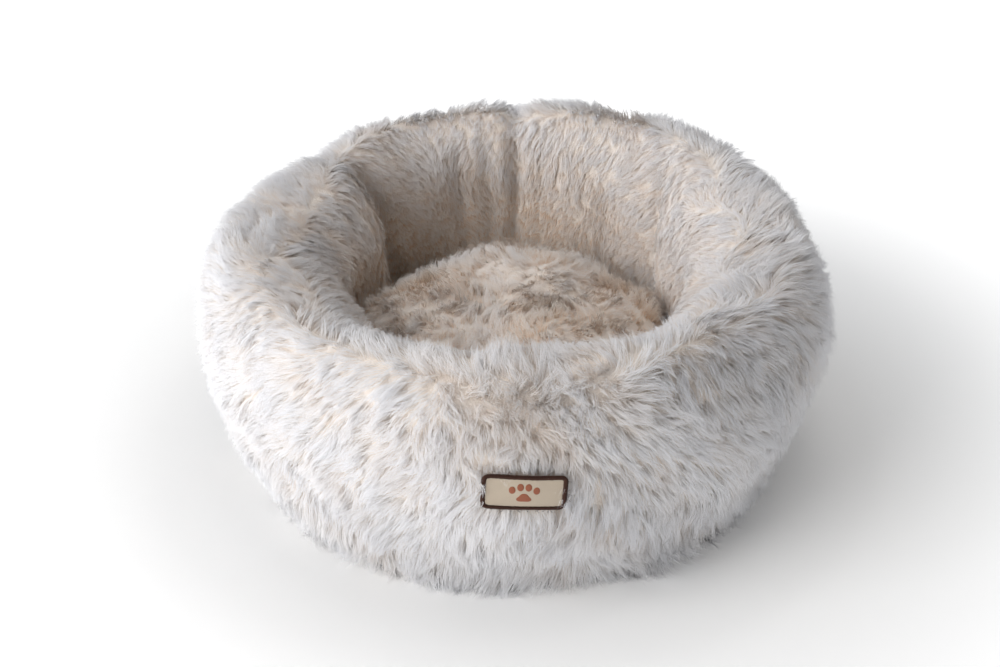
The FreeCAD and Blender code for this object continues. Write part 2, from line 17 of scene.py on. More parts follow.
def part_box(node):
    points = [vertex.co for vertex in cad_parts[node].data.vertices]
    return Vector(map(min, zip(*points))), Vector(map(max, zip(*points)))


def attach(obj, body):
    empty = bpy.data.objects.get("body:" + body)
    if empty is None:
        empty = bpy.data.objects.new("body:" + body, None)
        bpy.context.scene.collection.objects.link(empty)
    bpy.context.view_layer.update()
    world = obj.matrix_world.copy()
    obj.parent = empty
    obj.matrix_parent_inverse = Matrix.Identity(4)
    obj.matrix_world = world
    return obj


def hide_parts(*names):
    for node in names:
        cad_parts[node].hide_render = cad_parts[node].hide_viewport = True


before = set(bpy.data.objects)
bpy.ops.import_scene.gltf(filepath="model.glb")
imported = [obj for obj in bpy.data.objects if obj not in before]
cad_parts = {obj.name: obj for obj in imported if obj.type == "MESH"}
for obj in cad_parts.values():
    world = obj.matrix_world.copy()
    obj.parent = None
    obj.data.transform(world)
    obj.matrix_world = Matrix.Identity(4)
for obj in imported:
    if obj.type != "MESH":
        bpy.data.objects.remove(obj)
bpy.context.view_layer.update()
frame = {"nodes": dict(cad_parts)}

LOG = logging.getLogger("pet_bed")
MM = 0.001
TAU = 2 * math.pi
FRONT = -math.pi / 2
UP = np.array([0.0, 0.0, 1.0])
Colour = tuple[float, float, float]


# ---------------------------------------------------------------------------------------- small tools


def turn(degrees: float) -> float:
    """Bearing round the bed, in radians, from degrees counted to the right of the front."""
    return FRONT + math.radians(degrees)


def bearing_gap(theta: np.ndarray, centre: np.ndarray | float) -> np.ndarray:
    """Signed angle from one bearing to another, within half a turn either way."""
    return np.angle(np.exp(1j * (theta - centre)))


def around(theta: np.ndarray, centre: float, width: float) -> np.ndarray:
    """A smooth hump over a bearing.

    Args:
        theta: Bearings in radians.
        centre: Bearing of the hump's middle, in radians.
        width: Half width of the hump, in radians.

    Returns:
        1 at the middle, falling to 0 away from it.
    """
    return np.exp(-((bearing_gap(theta, centre) / width) ** 2))


def smooth(low: float, high: float, x: np.ndarray) -> np.ndarray:
    """0 below low, 1 above high, and an S-curve between."""
    t = np.clip((x - low) / (high - low), 0, 1)
    return t * t * (3 - 2 * t)


def unit(vectors: np.ndarray) -> np.ndarray:
    """Vectors brought to length 1."""
    return vectors / np.maximum(np.linalg.norm(vectors, axis=-1, keepdims=True), 1e-9)


def ray(theta: np.ndarray) -> np.ndarray:
    """Outward unit vectors for bearings."""
    return np.stack([np.cos(theta), np.sin(theta), np.zeros_like(theta)], -1)


class Wander:
    """A smooth random field in space, the sum of a few plane waves."""

    def __init__(self, seed: int, reach: float, waves: int = 7) -> None:
        """Draws the waves.

        Args:
            seed: Seed of the draw.
            reach: Distance over which the field changes, in metres.
            waves: How many waves are summed.
        """
        rng = np.random.default_rng(seed)
        way = unit(rng.normal(size=(waves, 3)))
        self.pitch = way * (TAU / reach * rng.uniform(0.5, 1.3, (waves, 1)))
        self.phase = rng.uniform(0, TAU, waves)
        self.gain = 1.4 / math.sqrt(waves)

    def at(self, points: np.ndarray) -> np.ndarray:
        """The field at points, mostly within -1 and 1."""
        return self.gain * np.sin(points @ self.pitch.T + self.phase).sum(-1)


def mesh_object(name: str, points: np.ndarray, faces: list, smooth_faces: bool = True) -> bpy.types.Object:
    """Makes a mesh object from points and faces.

    Args:
        name: Name of the piece.
        points: Corner positions in metres.
        faces: Corner numbers of each face.
        smooth_faces: True for smooth shading.

    Returns:
        The new object, in the scene.
    """
    mesh = bpy.data.meshes.new(name)
    mesh.from_pydata([tuple(p) for p in points], [], [tuple(f) for f in faces])
    mesh.polygons.foreach_set("use_smooth", [smooth_faces] * len(mesh.polygons))
    mesh.update()
    thing = bpy.data.objects.new(name, mesh)
    bpy.context.scene.collection.objects.link(thing)
    return thing


def grid_faces(rows: int, columns: int, closed: bool = True, offset: int = 0) -> list[tuple[int, ...]]:
    """Quads over a grid of points, row after row.

    Args:
        rows: Number of rows.
        columns: Number of points in a row.
        closed: True if each row is a loop.
        offset: Number of the first point.

    Returns:
        The quads' corner numbers.
    """
    last = columns if closed else columns - 1
    quads = []
    for i in range(rows - 1):
        for j in range(last):
            k = (j + 1) % columns
            quads.append(tuple(offset + n for n in (
                i * columns + j, i * columns + k, (i + 1) * columns + k, (i + 1) * columns + j)))
    return quads


# ---------------------------------------------------------------------------------------- finishes


class Signal:
    """A value inside a material that sums can be written with."""

    def __init__(self, recipe: "Nodes", socket: bpy.types.NodeSocket) -> None:
        """Keeps the material that the value lives in, and its socket."""
        self.recipe = recipe
        self.socket = socket

    def sum(self, operation: str, *terms: object, clamp: bool = False) -> "Signal":
        """Adds a Math node.

        Args:
            operation: The Math node's operation.
            terms: Its inputs, as signals or numbers.
            clamp: True to hold the result within 0 and 1.

        Returns:
            The node's result.
        """
        settings = {"operation": operation, "use_clamp": clamp}
        return self.recipe.node("ShaderNodeMath", settings, dict(enumerate(terms))).out(0)

    def __add__(self, other: object) -> "Signal":
        """self + other."""
        return self.sum("ADD", self, other)

    def __radd__(self, other: object) -> "Signal":
        """other + self."""
        return self.sum("ADD", other, self)

    def __sub__(self, other: object) -> "Signal":
        """self - other."""
        return self.sum("SUBTRACT", self, other)

    def __rsub__(self, other: object) -> "Signal":
        """other - self."""
        return self.sum("SUBTRACT", other, self)

    def __mul__(self, other: object) -> "Signal":
        """self * other."""
        return self.sum("MULTIPLY", self, other)

    def __rmul__(self, other: object) -> "Signal":
        """other * self."""
        return self.sum("MULTIPLY", other, self)

    def held(self) -> "Signal":
        """The value held within 0 and 1."""
        return self.sum("ADD", self, 0.0, clamp=True)


class Step:
    """A node of a material, with its outputs as signals."""

    def __init__(self, recipe: "Nodes", made: bpy.types.Node) -> None:
        """Keeps the material and the node."""
        self.recipe = recipe
        self.made = made

    def out(self, which: int | str) -> Signal:
        """One of the node's outputs."""
        return Signal(self.recipe, self.made.outputs[which])


class Nodes:
    """A tree of nodes being made."""

    def __init__(self, tree: bpy.types.NodeTree) -> None:
        """Starts from an empty tree."""
        self.tree = tree
        self.tree.nodes.clear()

    def feed(self, socket: bpy.types.NodeSocket, given: object) -> None:
        """Puts a value or a signal into a socket.

        Args:
            socket: The socket.
            given: A signal to link, or a plain value; three numbers make a colour.
        """
        if isinstance(given, Signal):
            self.tree.links.new(given.socket, socket)
        elif isinstance(given, tuple) and len(given) == 3 and socket.type == "RGBA":
            socket.default_value = (*given, 1.0)
        else:
            socket.default_value = given

    def node(self, kind: str, settings: dict[str, object] | None = None,
             inputs: dict[int | str, object] | None = None) -> Step:
        """Adds a node.

        Args:
            kind: The node's type.
            settings: Its properties, set first; "stops" holds a ramp's (place, colour) pairs.
            inputs: Values or signals by socket name or number.

        Returns:
            The node.
        """
        made = self.tree.nodes.new(kind)
        for key, given in (settings or {}).items():
            if key == "stops":
                self.stops(made, given)
            else:
                setattr(made, key, given)
        for key, given in (inputs or {}).items():
            self.feed(made.inputs[key], given)
        return Step(self, made)

    @staticmethod
    def stops(ramp: bpy.types.Node, stops: list[tuple[float, Colour]]) -> None:
        """Sets a ramp's stops.

        Args:
            ramp: The ramp node.
            stops: Place and colour of each stop.
        """
        elements = ramp.color_ramp.elements
        while len(elements) > 1:
            elements.remove(elements[-1])
        for i, (place, colour) in enumerate(stops):
            stop = elements[0] if i == 0 else elements.new(place)
            stop.position = place
            stop.color = (*colour, 1.0)

    def blend(self, share: object, one: object, other: object, how: str = "MIX") -> Signal:
        """Mixes two colours by a share."""
        settings = {"data_type": "RGBA", "blend_type": how}
        step = self.node("ShaderNodeMix", settings, {0: share, 6: one, 7: other})
        return step.out(2)


class Recipe(Nodes):
    """A material being made, around its Principled node."""

    def __init__(self, name: str) -> None:
        """Starts a material with a Principled node alone."""
        self.material = bpy.data.materials.new(name)
        self.material.use_nodes = True
        super().__init__(self.material.node_tree)
        self.skin = self.tree.nodes.new("ShaderNodeBsdfPrincipled")
        end = self.tree.nodes.new("ShaderNodeOutputMaterial")
        self.tree.links.new(self.skin.outputs["BSDF"], end.inputs["Surface"])

    def place(self) -> Signal:
        """Position on the piece, in metres."""
        return self.node("ShaderNodeTexCoord").out("Object")

    def grain(self, scale: float, detail: float = 2.0, where: Signal | None = None) -> Signal:
        """A noise value from 0 to 1."""
        inputs = {"Scale": scale, "Detail": detail, "Vector": where or self.place()}
        return self.node("ShaderNodeTexNoise", None, inputs).out("Fac")

    def trait(self, name: str) -> Signal:
        """A number that the mesh carries at its points."""
        return self.node("ShaderNodeAttribute", {"attribute_name": name}).out("Fac")

    def bump(self, height: Signal, depth: float, strength: float = 1.0) -> None:
        """Raises the surface by a height map."""
        inputs = {"Height": height, "Distance": depth, "Strength": strength}
        self.feed(self.skin.inputs["Normal"], self.node("ShaderNodeBump", None, inputs).out(0))

    def finish(self, colour: object, roughness: object, **plain: object) -> bpy.types.Material:
        """Sets the Principled node.

        Args:
            colour: Base colour, as a signal or three numbers.
            roughness: Roughness, as a signal or a number.
            plain: Other sockets' plain values, by name with underscores for spaces.

        Returns:
            The finished material.
        """
        self.feed(self.skin.inputs["Base Color"], colour)
        self.feed(self.skin.inputs["Roughness"], roughness)
        for name, given in plain.items():
            self.feed(self.skin.inputs[name.replace("_", " ")], given)
        return self.material


@dataclass(frozen=True)
class FurFinish:
    """Long pile: pale at the tip and darker, warmer at the root, each tuft a little different; the darker
    roots and the tan are painted shade deep in the pile and in the well.
    """

    name: str
    root: Colour = (0.93, 0.88, 0.83)
    shade_tan: Colour = (0.84, 0.56, 0.34)
    tip: Colour = (0.935, 0.935, 0.955)
    shade_warm_tip: Colour = (0.96, 0.88, 0.80)

    def make(self) -> bpy.types.Material:
        """Builds the material from the strands' own traits."""
        recipe = Recipe(self.name)
        along = recipe.trait("along")
        tone = recipe.trait("tone")
        warmth = recipe.trait("warmth")
        # Painted shade: where a strand carries painted warm shade, its root turns tan and its tip warmer.
        shaded_root = recipe.blend(warmth, self.root, self.shade_tan)
        pale = recipe.blend(warmth, self.tip, self.shade_warm_tip)
        patch = recipe.grain(35.0, 3.0)
        # Painted shade: each strand is darker and warmer towards its root, standing in for the shade deep in
        # the pile; the noise and tone vary it at random.
        reach = (along * 1.4 + patch * 0.2 + tone * 0.15 - 0.1).held()
        colour = recipe.blend(reach, shaded_root, pale)
        return recipe.finish(colour, 0.55 + tone * 0.25, Specular_IOR_Level=0.3, Sheen_Weight=0.2,
                             Sheen_Roughness=0.5)


@dataclass(frozen=True)
class BackingFinish:
    """Knitted backing that the pile grows from, seen only down between the tufts."""

    name: str
    colour: Colour = (0.93, 0.86, 0.80)
    dark: Colour = (0.88, 0.78, 0.68)

    def make(self) -> bpy.types.Material:
        """Builds the material: fine knitted loops and a mottled tone."""
        recipe = Recipe(self.name)
        mottle = recipe.grain(60.0, 4.0)
        loops = recipe.node("ShaderNodeTexVoronoi", {"feature": "F1"},
                            {"Scale": 700.0, "Vector": recipe.place()}).out("Distance")
        recipe.bump(loops, 0.0006, 0.5)
        colour = recipe.blend((mottle * 1.6 - 0.3).held(), self.dark, self.colour)
        return recipe.finish(colour, 0.85 + mottle * 0.1, Sheen_Weight=0.2)


class Weave(Enum):
    """How a cloth's threads cross."""

    PLAIN = "plain"
    TWILL = "twill"
    SATIN = "satin"


@dataclass(frozen=True)
class ClothFinish:
    """Woven cloth with its threads at real scale."""

    name: str
    colour: Colour
    pitch: float
    weave: Weave = Weave.PLAIN
    relief: float = 0.00015
    roughness: float = 0.8
    shade: float = 0.72
    sheen: float = 0.15
    facing: str = "XZ"

    def make(self) -> bpy.types.Material:
        """Builds the material: two sets of threads, their height, painted shade in the hollows between them
        and a mottled tone.
        """
        recipe = Recipe(self.name)
        parts = recipe.node("ShaderNodeSeparateXYZ", None, {0: recipe.place()})
        across, up = parts.out(self.facing[0]), parts.out(self.facing[1])
        beat = TAU / self.pitch / 2
        if self.weave is Weave.TWILL:
            across = across + up * 0.5
        warp = (across * beat).sum("SINE", across * beat)
        weft = (up * beat).sum("SINE", up * beat)
        share = 0.85 if self.weave is Weave.SATIN else 0.5
        threads = warp.sum("ABSOLUTE", warp) * share + weft.sum("ABSOLUTE", weft) * (1 - share)
        recipe.bump(threads, self.relief, 0.8)
        mottle = recipe.grain(90.0, 4.0)
        dark = tuple(c * self.shade for c in self.colour)
        # Painted shade: the cloth is darker in the hollows between the threads, and mottled at random.
        colour = recipe.blend((threads * 0.8 + mottle * 0.5 - 0.2).held(), dark, self.colour)
        return recipe.finish(colour, self.roughness - 0.1 * threads, Sheen_Weight=self.sheen)


@dataclass(frozen=True)
class ThreadFinish:
    """Twisted sewing thread."""

    name: str
    colour: Colour
    twist: float = 2600.0

    def make(self) -> bpy.types.Material:
        """Builds the material: fine slanted plies, with painted shade in the grooves between them."""
        recipe = Recipe(self.name)
        plies = recipe.node("ShaderNodeTexWave", {"bands_direction": "DIAGONAL"},
                            {"Scale": self.twist, "Distortion": 1.0, "Vector": recipe.place()}).out("Fac")
        recipe.bump(plies, 0.00008, 0.7)
        fuzz = recipe.grain(500.0, 2.0)
        dark = tuple(c * 0.55 for c in self.colour)
        # Painted shade: the thread is darker in the grooves between its plies, and fuzzed at random.
        colour = recipe.blend((plies * 0.6 + fuzz * 0.6 - 0.1).held(), dark, self.colour)
        return recipe.finish(colour, 0.62 + 0.2 * fuzz, Specular_IOR_Level=0.25, Sheen_Weight=0.04)


@dataclass(frozen=True)
class RubberFinish:
    """Matte rubber of the grip dots."""

    name: str
    colour: Colour = (0.06, 0.06, 0.065)

    def make(self) -> bpy.types.Material:
        """Builds the material: fine pebbling and dust."""
        recipe = Recipe(self.name)
        pebble = recipe.grain(1500.0, 3.0)
        dust = recipe.grain(70.0, 4.0)
        recipe.bump(pebble, 0.00008, 0.5)
        colour = recipe.blend((dust * 1.2 - 0.5).held(), self.colour, (0.2, 0.19, 0.18))
        return recipe.finish(colour, 0.6 + 0.25 * dust, Specular_IOR_Level=0.4)


# ---------------------------------------------------------------------------------------- soft surfaces


@dataclass
class Surface:
    """Points, smooth outward normals and triangles of a finished soft surface."""

    points: np.ndarray
    normals: np.ndarray
    triangles: np.ndarray

    @classmethod
    def of(cls, thing: bpy.types.Object) -> "Surface":
        """Reads a mesh object at the origin."""
        mesh = thing.data
        mesh.calc_loop_triangles()
        points = np.empty(len(mesh.vertices) * 3, np.float32)
        normals = np.empty(len(mesh.vertices) * 3, np.float32)
        triangles = np.empty(len(mesh.loop_triangles) * 3, np.int32)
        mesh.vertices.foreach_get("co", points)
        mesh.vertices.foreach_get("normal", normals)
        mesh.loop_triangles.foreach_get("vertices", triangles)
        return cls(points.reshape(-1, 3).astype(float), normals.reshape(-1, 3).astype(float),
                   triangles.reshape(-1, 3))

    def scatter(self, count: int, rng: np.random.Generator) -> tuple[np.ndarray, np.ndarray]:
        """Scatters points evenly over the surface.

        Args:
            count: How many points.
            rng: Source of the draw.

        Returns:
            The points and their smooth normals.
        """
        a, b, c = (self.points[self.triangles[:, i]] for i in range(3))
        area = np.linalg.norm(np.cross(b - a, c - a), axis=1)
        pick = rng.choice(len(area), count, p=area / area.sum())
        u, v = rng.random((2, count, 1))
        flip = (u + v) > 1
        u, v = np.where(flip, 1 - u, u), np.where(flip, 1 - v, v)
        w = 1 - u - v
        n0, n1, n2 = (self.normals[self.triangles[pick, i]] for i in range(3))
        return a[pick] * w + b[pick] * u + c[pick] * v, unit(n0 * w + n1 * u + n2 * v)


@dataclass
class Puff:
    """Blows a closed skin up by cloth simulation, held along its seams and creases."""

    voxel: float = 5.5 * MM
    pressure: float = 4.0
    frames: int = 20
    limit: float = 7.0 * MM

    def remesh(self, thing: bpy.types.Object) -> None:
        """Gives the skin even quads."""
        change = thing.modifiers.new("even", "REMESH")
        change.mode = "VOXEL"
        change.voxel_size = self.voxel
        self.apply(thing)

    @staticmethod
    def apply(thing: bpy.types.Object) -> None:
        """Applies the thing's modifiers to its mesh."""
        graph = bpy.context.evaluated_depsgraph_get()
        made = bpy.data.meshes.new_from_object(thing.evaluated_get(graph))
        thing.modifiers.clear()
        old = thing.data
        thing.data = made
        made.name = thing.name
        bpy.data.meshes.remove(old)

    def blow(self, thing: bpy.types.Object, hold: np.ndarray) -> None:
        """Runs the simulation and leaves its result in the mesh.

        Args:
            thing: The skin, already in even quads.
            hold: How firmly each point is held, from 0 to 1.
        """
        scene = bpy.context.scene
        before = np.empty(len(thing.data.vertices) * 3, np.float32)
        thing.data.vertices.foreach_get("co", before)
        group = thing.vertex_groups.new(name="held")
        for number, weight in enumerate(hold):
            if weight > 0.01:
                group.add([number], float(weight), "REPLACE")
        cloth = thing.modifiers.new("puff", "CLOTH")
        settings = cloth.settings
        settings.use_pressure = True
        settings.uniform_pressure_force = self.pressure
        settings.effector_weights.gravity = 0
        settings.vertex_group_mass = group.name
        settings.quality = 5
        cloth.point_cache.frame_start = 1
        cloth.point_cache.frame_end = self.frames
        for step in range(1, self.frames + 1):
            scene.frame_set(step)
        self.apply(thing)
        scene.frame_set(1)
        after = np.empty_like(before)
        thing.data.vertices.foreach_get("co", after)
        shift = (after - before).reshape(-1, 3)
        length = np.linalg.norm(shift, axis=1, keepdims=True)
        shift *= np.minimum(1, self.limit / np.maximum(length, 1e-9))
        thing.data.vertices.foreach_set("co", (before.reshape(-1, 3) + shift).ravel())
        thing.data.update()


# ---------------------------------------------------------------------------------------- fur


@dataclass
class Lay:
    """How the pile lies at each root: which way, how messy, long, high, bunched, how much painted warm shade
    it carries, and how sleek.
    """

    flow: np.ndarray
    mess: np.ndarray
    length: np.ndarray
    lift: np.ndarray
    bunch: np.ndarray
    warmth: np.ndarray
    sleek: np.ndarray
    keep: np.ndarray

    def some(self, chosen: np.ndarray) -> "Lay":
        """The lay at chosen roots only."""
        return Lay(**{key: numbers[chosen] for key, numbers in vars(self).items()})


@dataclass
class Coat:
    """Grows locks of tufts of tapered strands on a surface."""

    name: str
    seed: int
    locks: int
    tufts: int
    strands: int
    spread: float = 1.7 * MM
    width: float = 0.5 * MM
    rings: int = 5
    curl: float = 0.6 * MM
    stray: float = 0.05
    play: float = 0.10
    most_faces: int = 190_000

    def guides(self, roots: np.ndarray, normals: np.ndarray, lay: Lay,
               rng: np.random.Generator) -> tuple[np.ndarray, np.ndarray]:
        """Draws the middle line of each tuft.

        Args:
            roots: Where the tufts grow.
            normals: Which way the surface faces there.
            lay: How the pile lies there.
            rng: Source of the draw.

        Returns:
            The lines' points and the sideways vectors.
        """
        count = len(roots)
        side = unit(np.cross(lay.flow, normals))
        veer = rng.normal(0, self.play, count) + rng.normal(0, 1.0, count) * lay.mess
        flow = unit(lay.flow * np.cos(veer)[:, None] + side * np.sin(veer)[:, None])
        side = unit(np.cross(flow, normals))
        length = lay.length * rng.uniform(0.82, 1.12, count)
        rise = lay.lift * rng.uniform(0.65, 1.35, count) + rng.uniform(0, 0.4, count) * lay.mess
        bend = rng.normal(0, 0.22, count) + rng.normal(0, 0.9, count) * lay.mess
        steps = np.linspace(0, 1, self.rings)[None, :, None]
        start, end = rise + 0.42, 0.6 * rise - 0.1
        slope = end[:, None, None] + (start - end)[:, None, None] * (1 - steps) ** 1.3
        swing = bend[:, None, None] * steps
        way = (normals[:, None] * np.sin(slope)
               + (flow[:, None] * np.cos(swing) + side[:, None] * np.sin(swing)) * np.cos(slope))
        way[..., 2] -= 0.10 * steps[..., 0]
        way = unit(way)
        hop = length[:, None, None] / (self.rings - 1)
        line = np.concatenate([np.zeros((count, 1, 3)), np.cumsum(way[:, :-1] * hop, axis=1)], axis=1)
        return roots[:, None] + line, side

    def grow(self, surface: Surface, comb: "Comb") -> list[bpy.types.Object]:
        """Grows the coat.

        Args:
            surface: What it grows on.
            comb: Which way it is combed.

        Returns:
            The pieces of the coat, split by bearing so that none is too large.
        """
        rng = np.random.default_rng(self.seed)
        lock_roots, lock_normals = surface.scatter(self.locks, rng)
        lock_line, _ = self.guides(lock_roots, lock_normals, comb.lay(lock_roots, lock_normals), rng)
        tree = KDTree(len(lock_roots))
        for number, root in enumerate(lock_roots):
            tree.insert(root, number)
        tree.balance()

        roots, normals = surface.scatter(self.tufts, rng)
        lay = comb.lay(roots, normals)
        keep = lay.keep > rng.random(len(roots))
        roots, normals, lay = roots[keep], normals[keep], lay.some(keep)
        line, side = self.guides(roots, normals, lay, rng)
        nearest = np.array([tree.find(root)[1] for root in roots])
        steps = np.linspace(0, 1, self.rings)
        pull = lay.bunch[:, None, None] * (steps ** 1.4)[None, :, None]
        line = line + pull * (lock_line[nearest] - line)

        count = len(roots)
        shape = (count, self.strands)
        across = unit(np.cross(normals, side))
        out = rng.normal(0, 1, (*shape, 2)) * self.spread
        gather = np.where(rng.random((count, 1)) < 0.3, 0.25, 0.8) + 0.3 * lay.mess[:, None]
        squeeze = 1 - (1 - gather)[..., None] * smooth(0.0, 0.9, steps)[None, None]
        offset = (side[:, None] * out[..., :1] + across[:, None] * out[..., 1:])[:, :, None]
        reach = rng.uniform(0.62, 1.08, shape)[..., None, None]
        path = line[:, None, :1] + (line[:, None] - line[:, None, :1]) * reach + offset * squeeze[..., None]

        phase = rng.uniform(0, TAU, (count, 1)) + rng.normal(0, 0.9, shape)
        waves = rng.uniform(0.8, 1.7, (count, 1, 1))
        angle = phase[..., None] + TAU * waves * steps[None, None]
        size = self.curl * (rng.uniform(0.2, 1.2, shape) + 2 * lay.mess[:, None])[..., None] * steps
        path = path + side[:, None, None] * (np.sin(angle) * size)[..., None]
        path = path + normals[:, None, None] * (np.cos(angle * 0.9) * size * 0.5)[..., None]
        stray = rng.normal(0, 1, (*shape, 1, 3)) * lay.length[:, None, None, None] * self.stray
        path = path + stray * (steps[None, None, :, None] ** 1.5)

        path = comb.settle(path.reshape(-1, self.rings, 3))
        face = np.repeat(normals, self.strands, axis=0)
        tone = np.repeat(rng.random(count), self.strands) * 0.5 + rng.random(len(face)) * 0.5
        warmth, sleek = (np.repeat(numbers, self.strands) for numbers in (lay.warmth, lay.sleek))
        return self.ribbons(path, face, tone, warmth, sleek, rng)

    def ribbons(self, path: np.ndarray, face: np.ndarray, tone: np.ndarray, warmth: np.ndarray,
                sleek: np.ndarray, rng: np.random.Generator) -> list[bpy.types.Object]:
        """Turns strand lines into tapered ribbons, in pieces by bearing.

        Args:
            path: Points of each strand's line.
            face: Which way each ribbon mostly faces.
            tone: Tone of each strand, from 0 to 1.
            warmth: How much painted warm shade tans each strand's root and warms its tip, from 0 to 1.
            sleek: How evenly each strand is lit with its neighbours, from 0 to 1.
            rng: Source of the draw.

        Returns:
            The pieces.
        """
        count = len(path)
        along = unit(np.gradient(path, axis=1))
        flat = unit(np.cross(along, face[:, None]))
        lean = unit(np.cross(flat, along))
        twist = rng.normal(0, 0.5, (count, 1, 1)) * (1 - 0.6 * sleek[:, None, None])
        edge = flat * np.cos(twist) + lean * np.sin(twist)
        steps = np.linspace(0, 1, self.rings)
        taper = np.sqrt(1 - steps * 0.94) * (0.75 + 0.25 * np.sin(np.pi * np.minimum(1, steps * 2.2)))
        half = 0.5 * self.width * rng.uniform(0.7, 1.25, (count, 1, 1)) * taper[None, :, None]
        left, right = path - edge * half, path + edge * half
        corners = np.stack([left[:, :-1], right[:, :-1]], 2).reshape(count, -1, 3)
        corners = np.concatenate([corners, path[:, -1:]], 1)
        own = unit(np.cross(edge, along))
        even = sleek[:, None, None]
        soft = unit(face[:, None] * (0.5 + 0.5 * even) + own * 0.62 * (1 - even))
        soft = np.concatenate([np.repeat(soft[:, :-1], 2, axis=1), soft[:, -1:]], 1)
        per = corners.shape[1]
        quads = self.rings - 2
        pattern = [2 * k + n for k in range(quads) for n in (0, 1, 3, 2)]
        pattern = np.array(pattern + [2 * quads, 2 * quads + 1, 2 * quads + 2])
        sizes = np.array([4] * quads + [3])
        steps_at = np.concatenate([np.repeat(steps[:-1], 2), [1.0]])

        order = np.argsort(np.arctan2(path[:, 0, 1], path[:, 0, 0]), kind="stable")
        total = max(1, math.ceil(count * (2 * quads + 1) / self.most_faces))
        pieces = []
        for number, chosen in enumerate(np.array_split(order, total), start=1):
            n = len(chosen)
            mesh = bpy.data.meshes.new(f"{self.name}_{number:02d}" if total > 1 else self.name)
            mesh.vertices.add(n * per)
            mesh.vertices.foreach_set("co", corners[chosen].astype(np.float32).ravel())
            loops = (np.arange(n)[:, None] * per + pattern[None]).astype(np.int32).ravel()
            mesh.loops.add(len(loops))
            mesh.loops.foreach_set("vertex_index", loops)
            starts = np.concatenate([[0], np.cumsum(np.tile(sizes, n))[:-1]]).astype(np.int32)
            mesh.polygons.add(len(starts))
            mesh.polygons.foreach_set("loop_start", starts)
            mesh.polygons.foreach_set("use_smooth", np.ones(len(starts), bool))
            mesh.update(calc_edges=True)
            # The strands' painted warm shade goes to the material as a trait, beside their place along the
            # strand and their tone.
            traits = {"along": np.tile(steps_at, n), "tone": np.repeat(tone[chosen], per),
                      "warmth": np.repeat(warmth[chosen], per)}
            for trait, numbers in traits.items():
                layer = mesh.attributes.new(trait, "FLOAT", "POINT")
                layer.data.foreach_set("value", numbers.astype(np.float32))
            layer = mesh.attributes.new("custom_normal", "FLOAT_VECTOR", "POINT")
            layer.data.foreach_set("vector", soft[chosen].astype(np.float32).ravel())
            thing = bpy.data.objects.new(mesh.name, mesh)
            bpy.context.scene.collection.objects.link(thing)
            pieces.append(thing)
        return pieces


class Comb:
    """Which way a coat lies. Each coat's own comb says how."""

    def lay(self, roots: np.ndarray, normals: np.ndarray) -> Lay:
        """How the pile lies at each root."""
        raise NotImplementedError

    def settle(self, path: np.ndarray) -> np.ndarray:
        """Keeps strands off what they would sink into."""
        return path


# ---------------------------------------------------------------------------------------- the wall


@dataclass(frozen=True)
class Crease:
    """A fold that is pulled into the wall.

    The bearing is in degrees to the right of the front, at the crest and at the cushion's level.
    """

    top: float
    bottom: float
    width: float
    depth: float
    inside: float
    outside: float
    crest: float


@dataclass(frozen=True)
class Lobe:
    """A stretch of the wall that bulges into the well, between two bearings in degrees from the front."""

    start: float
    end: float
    soft_start: float
    soft_end: float
    slant: float
    depth: float


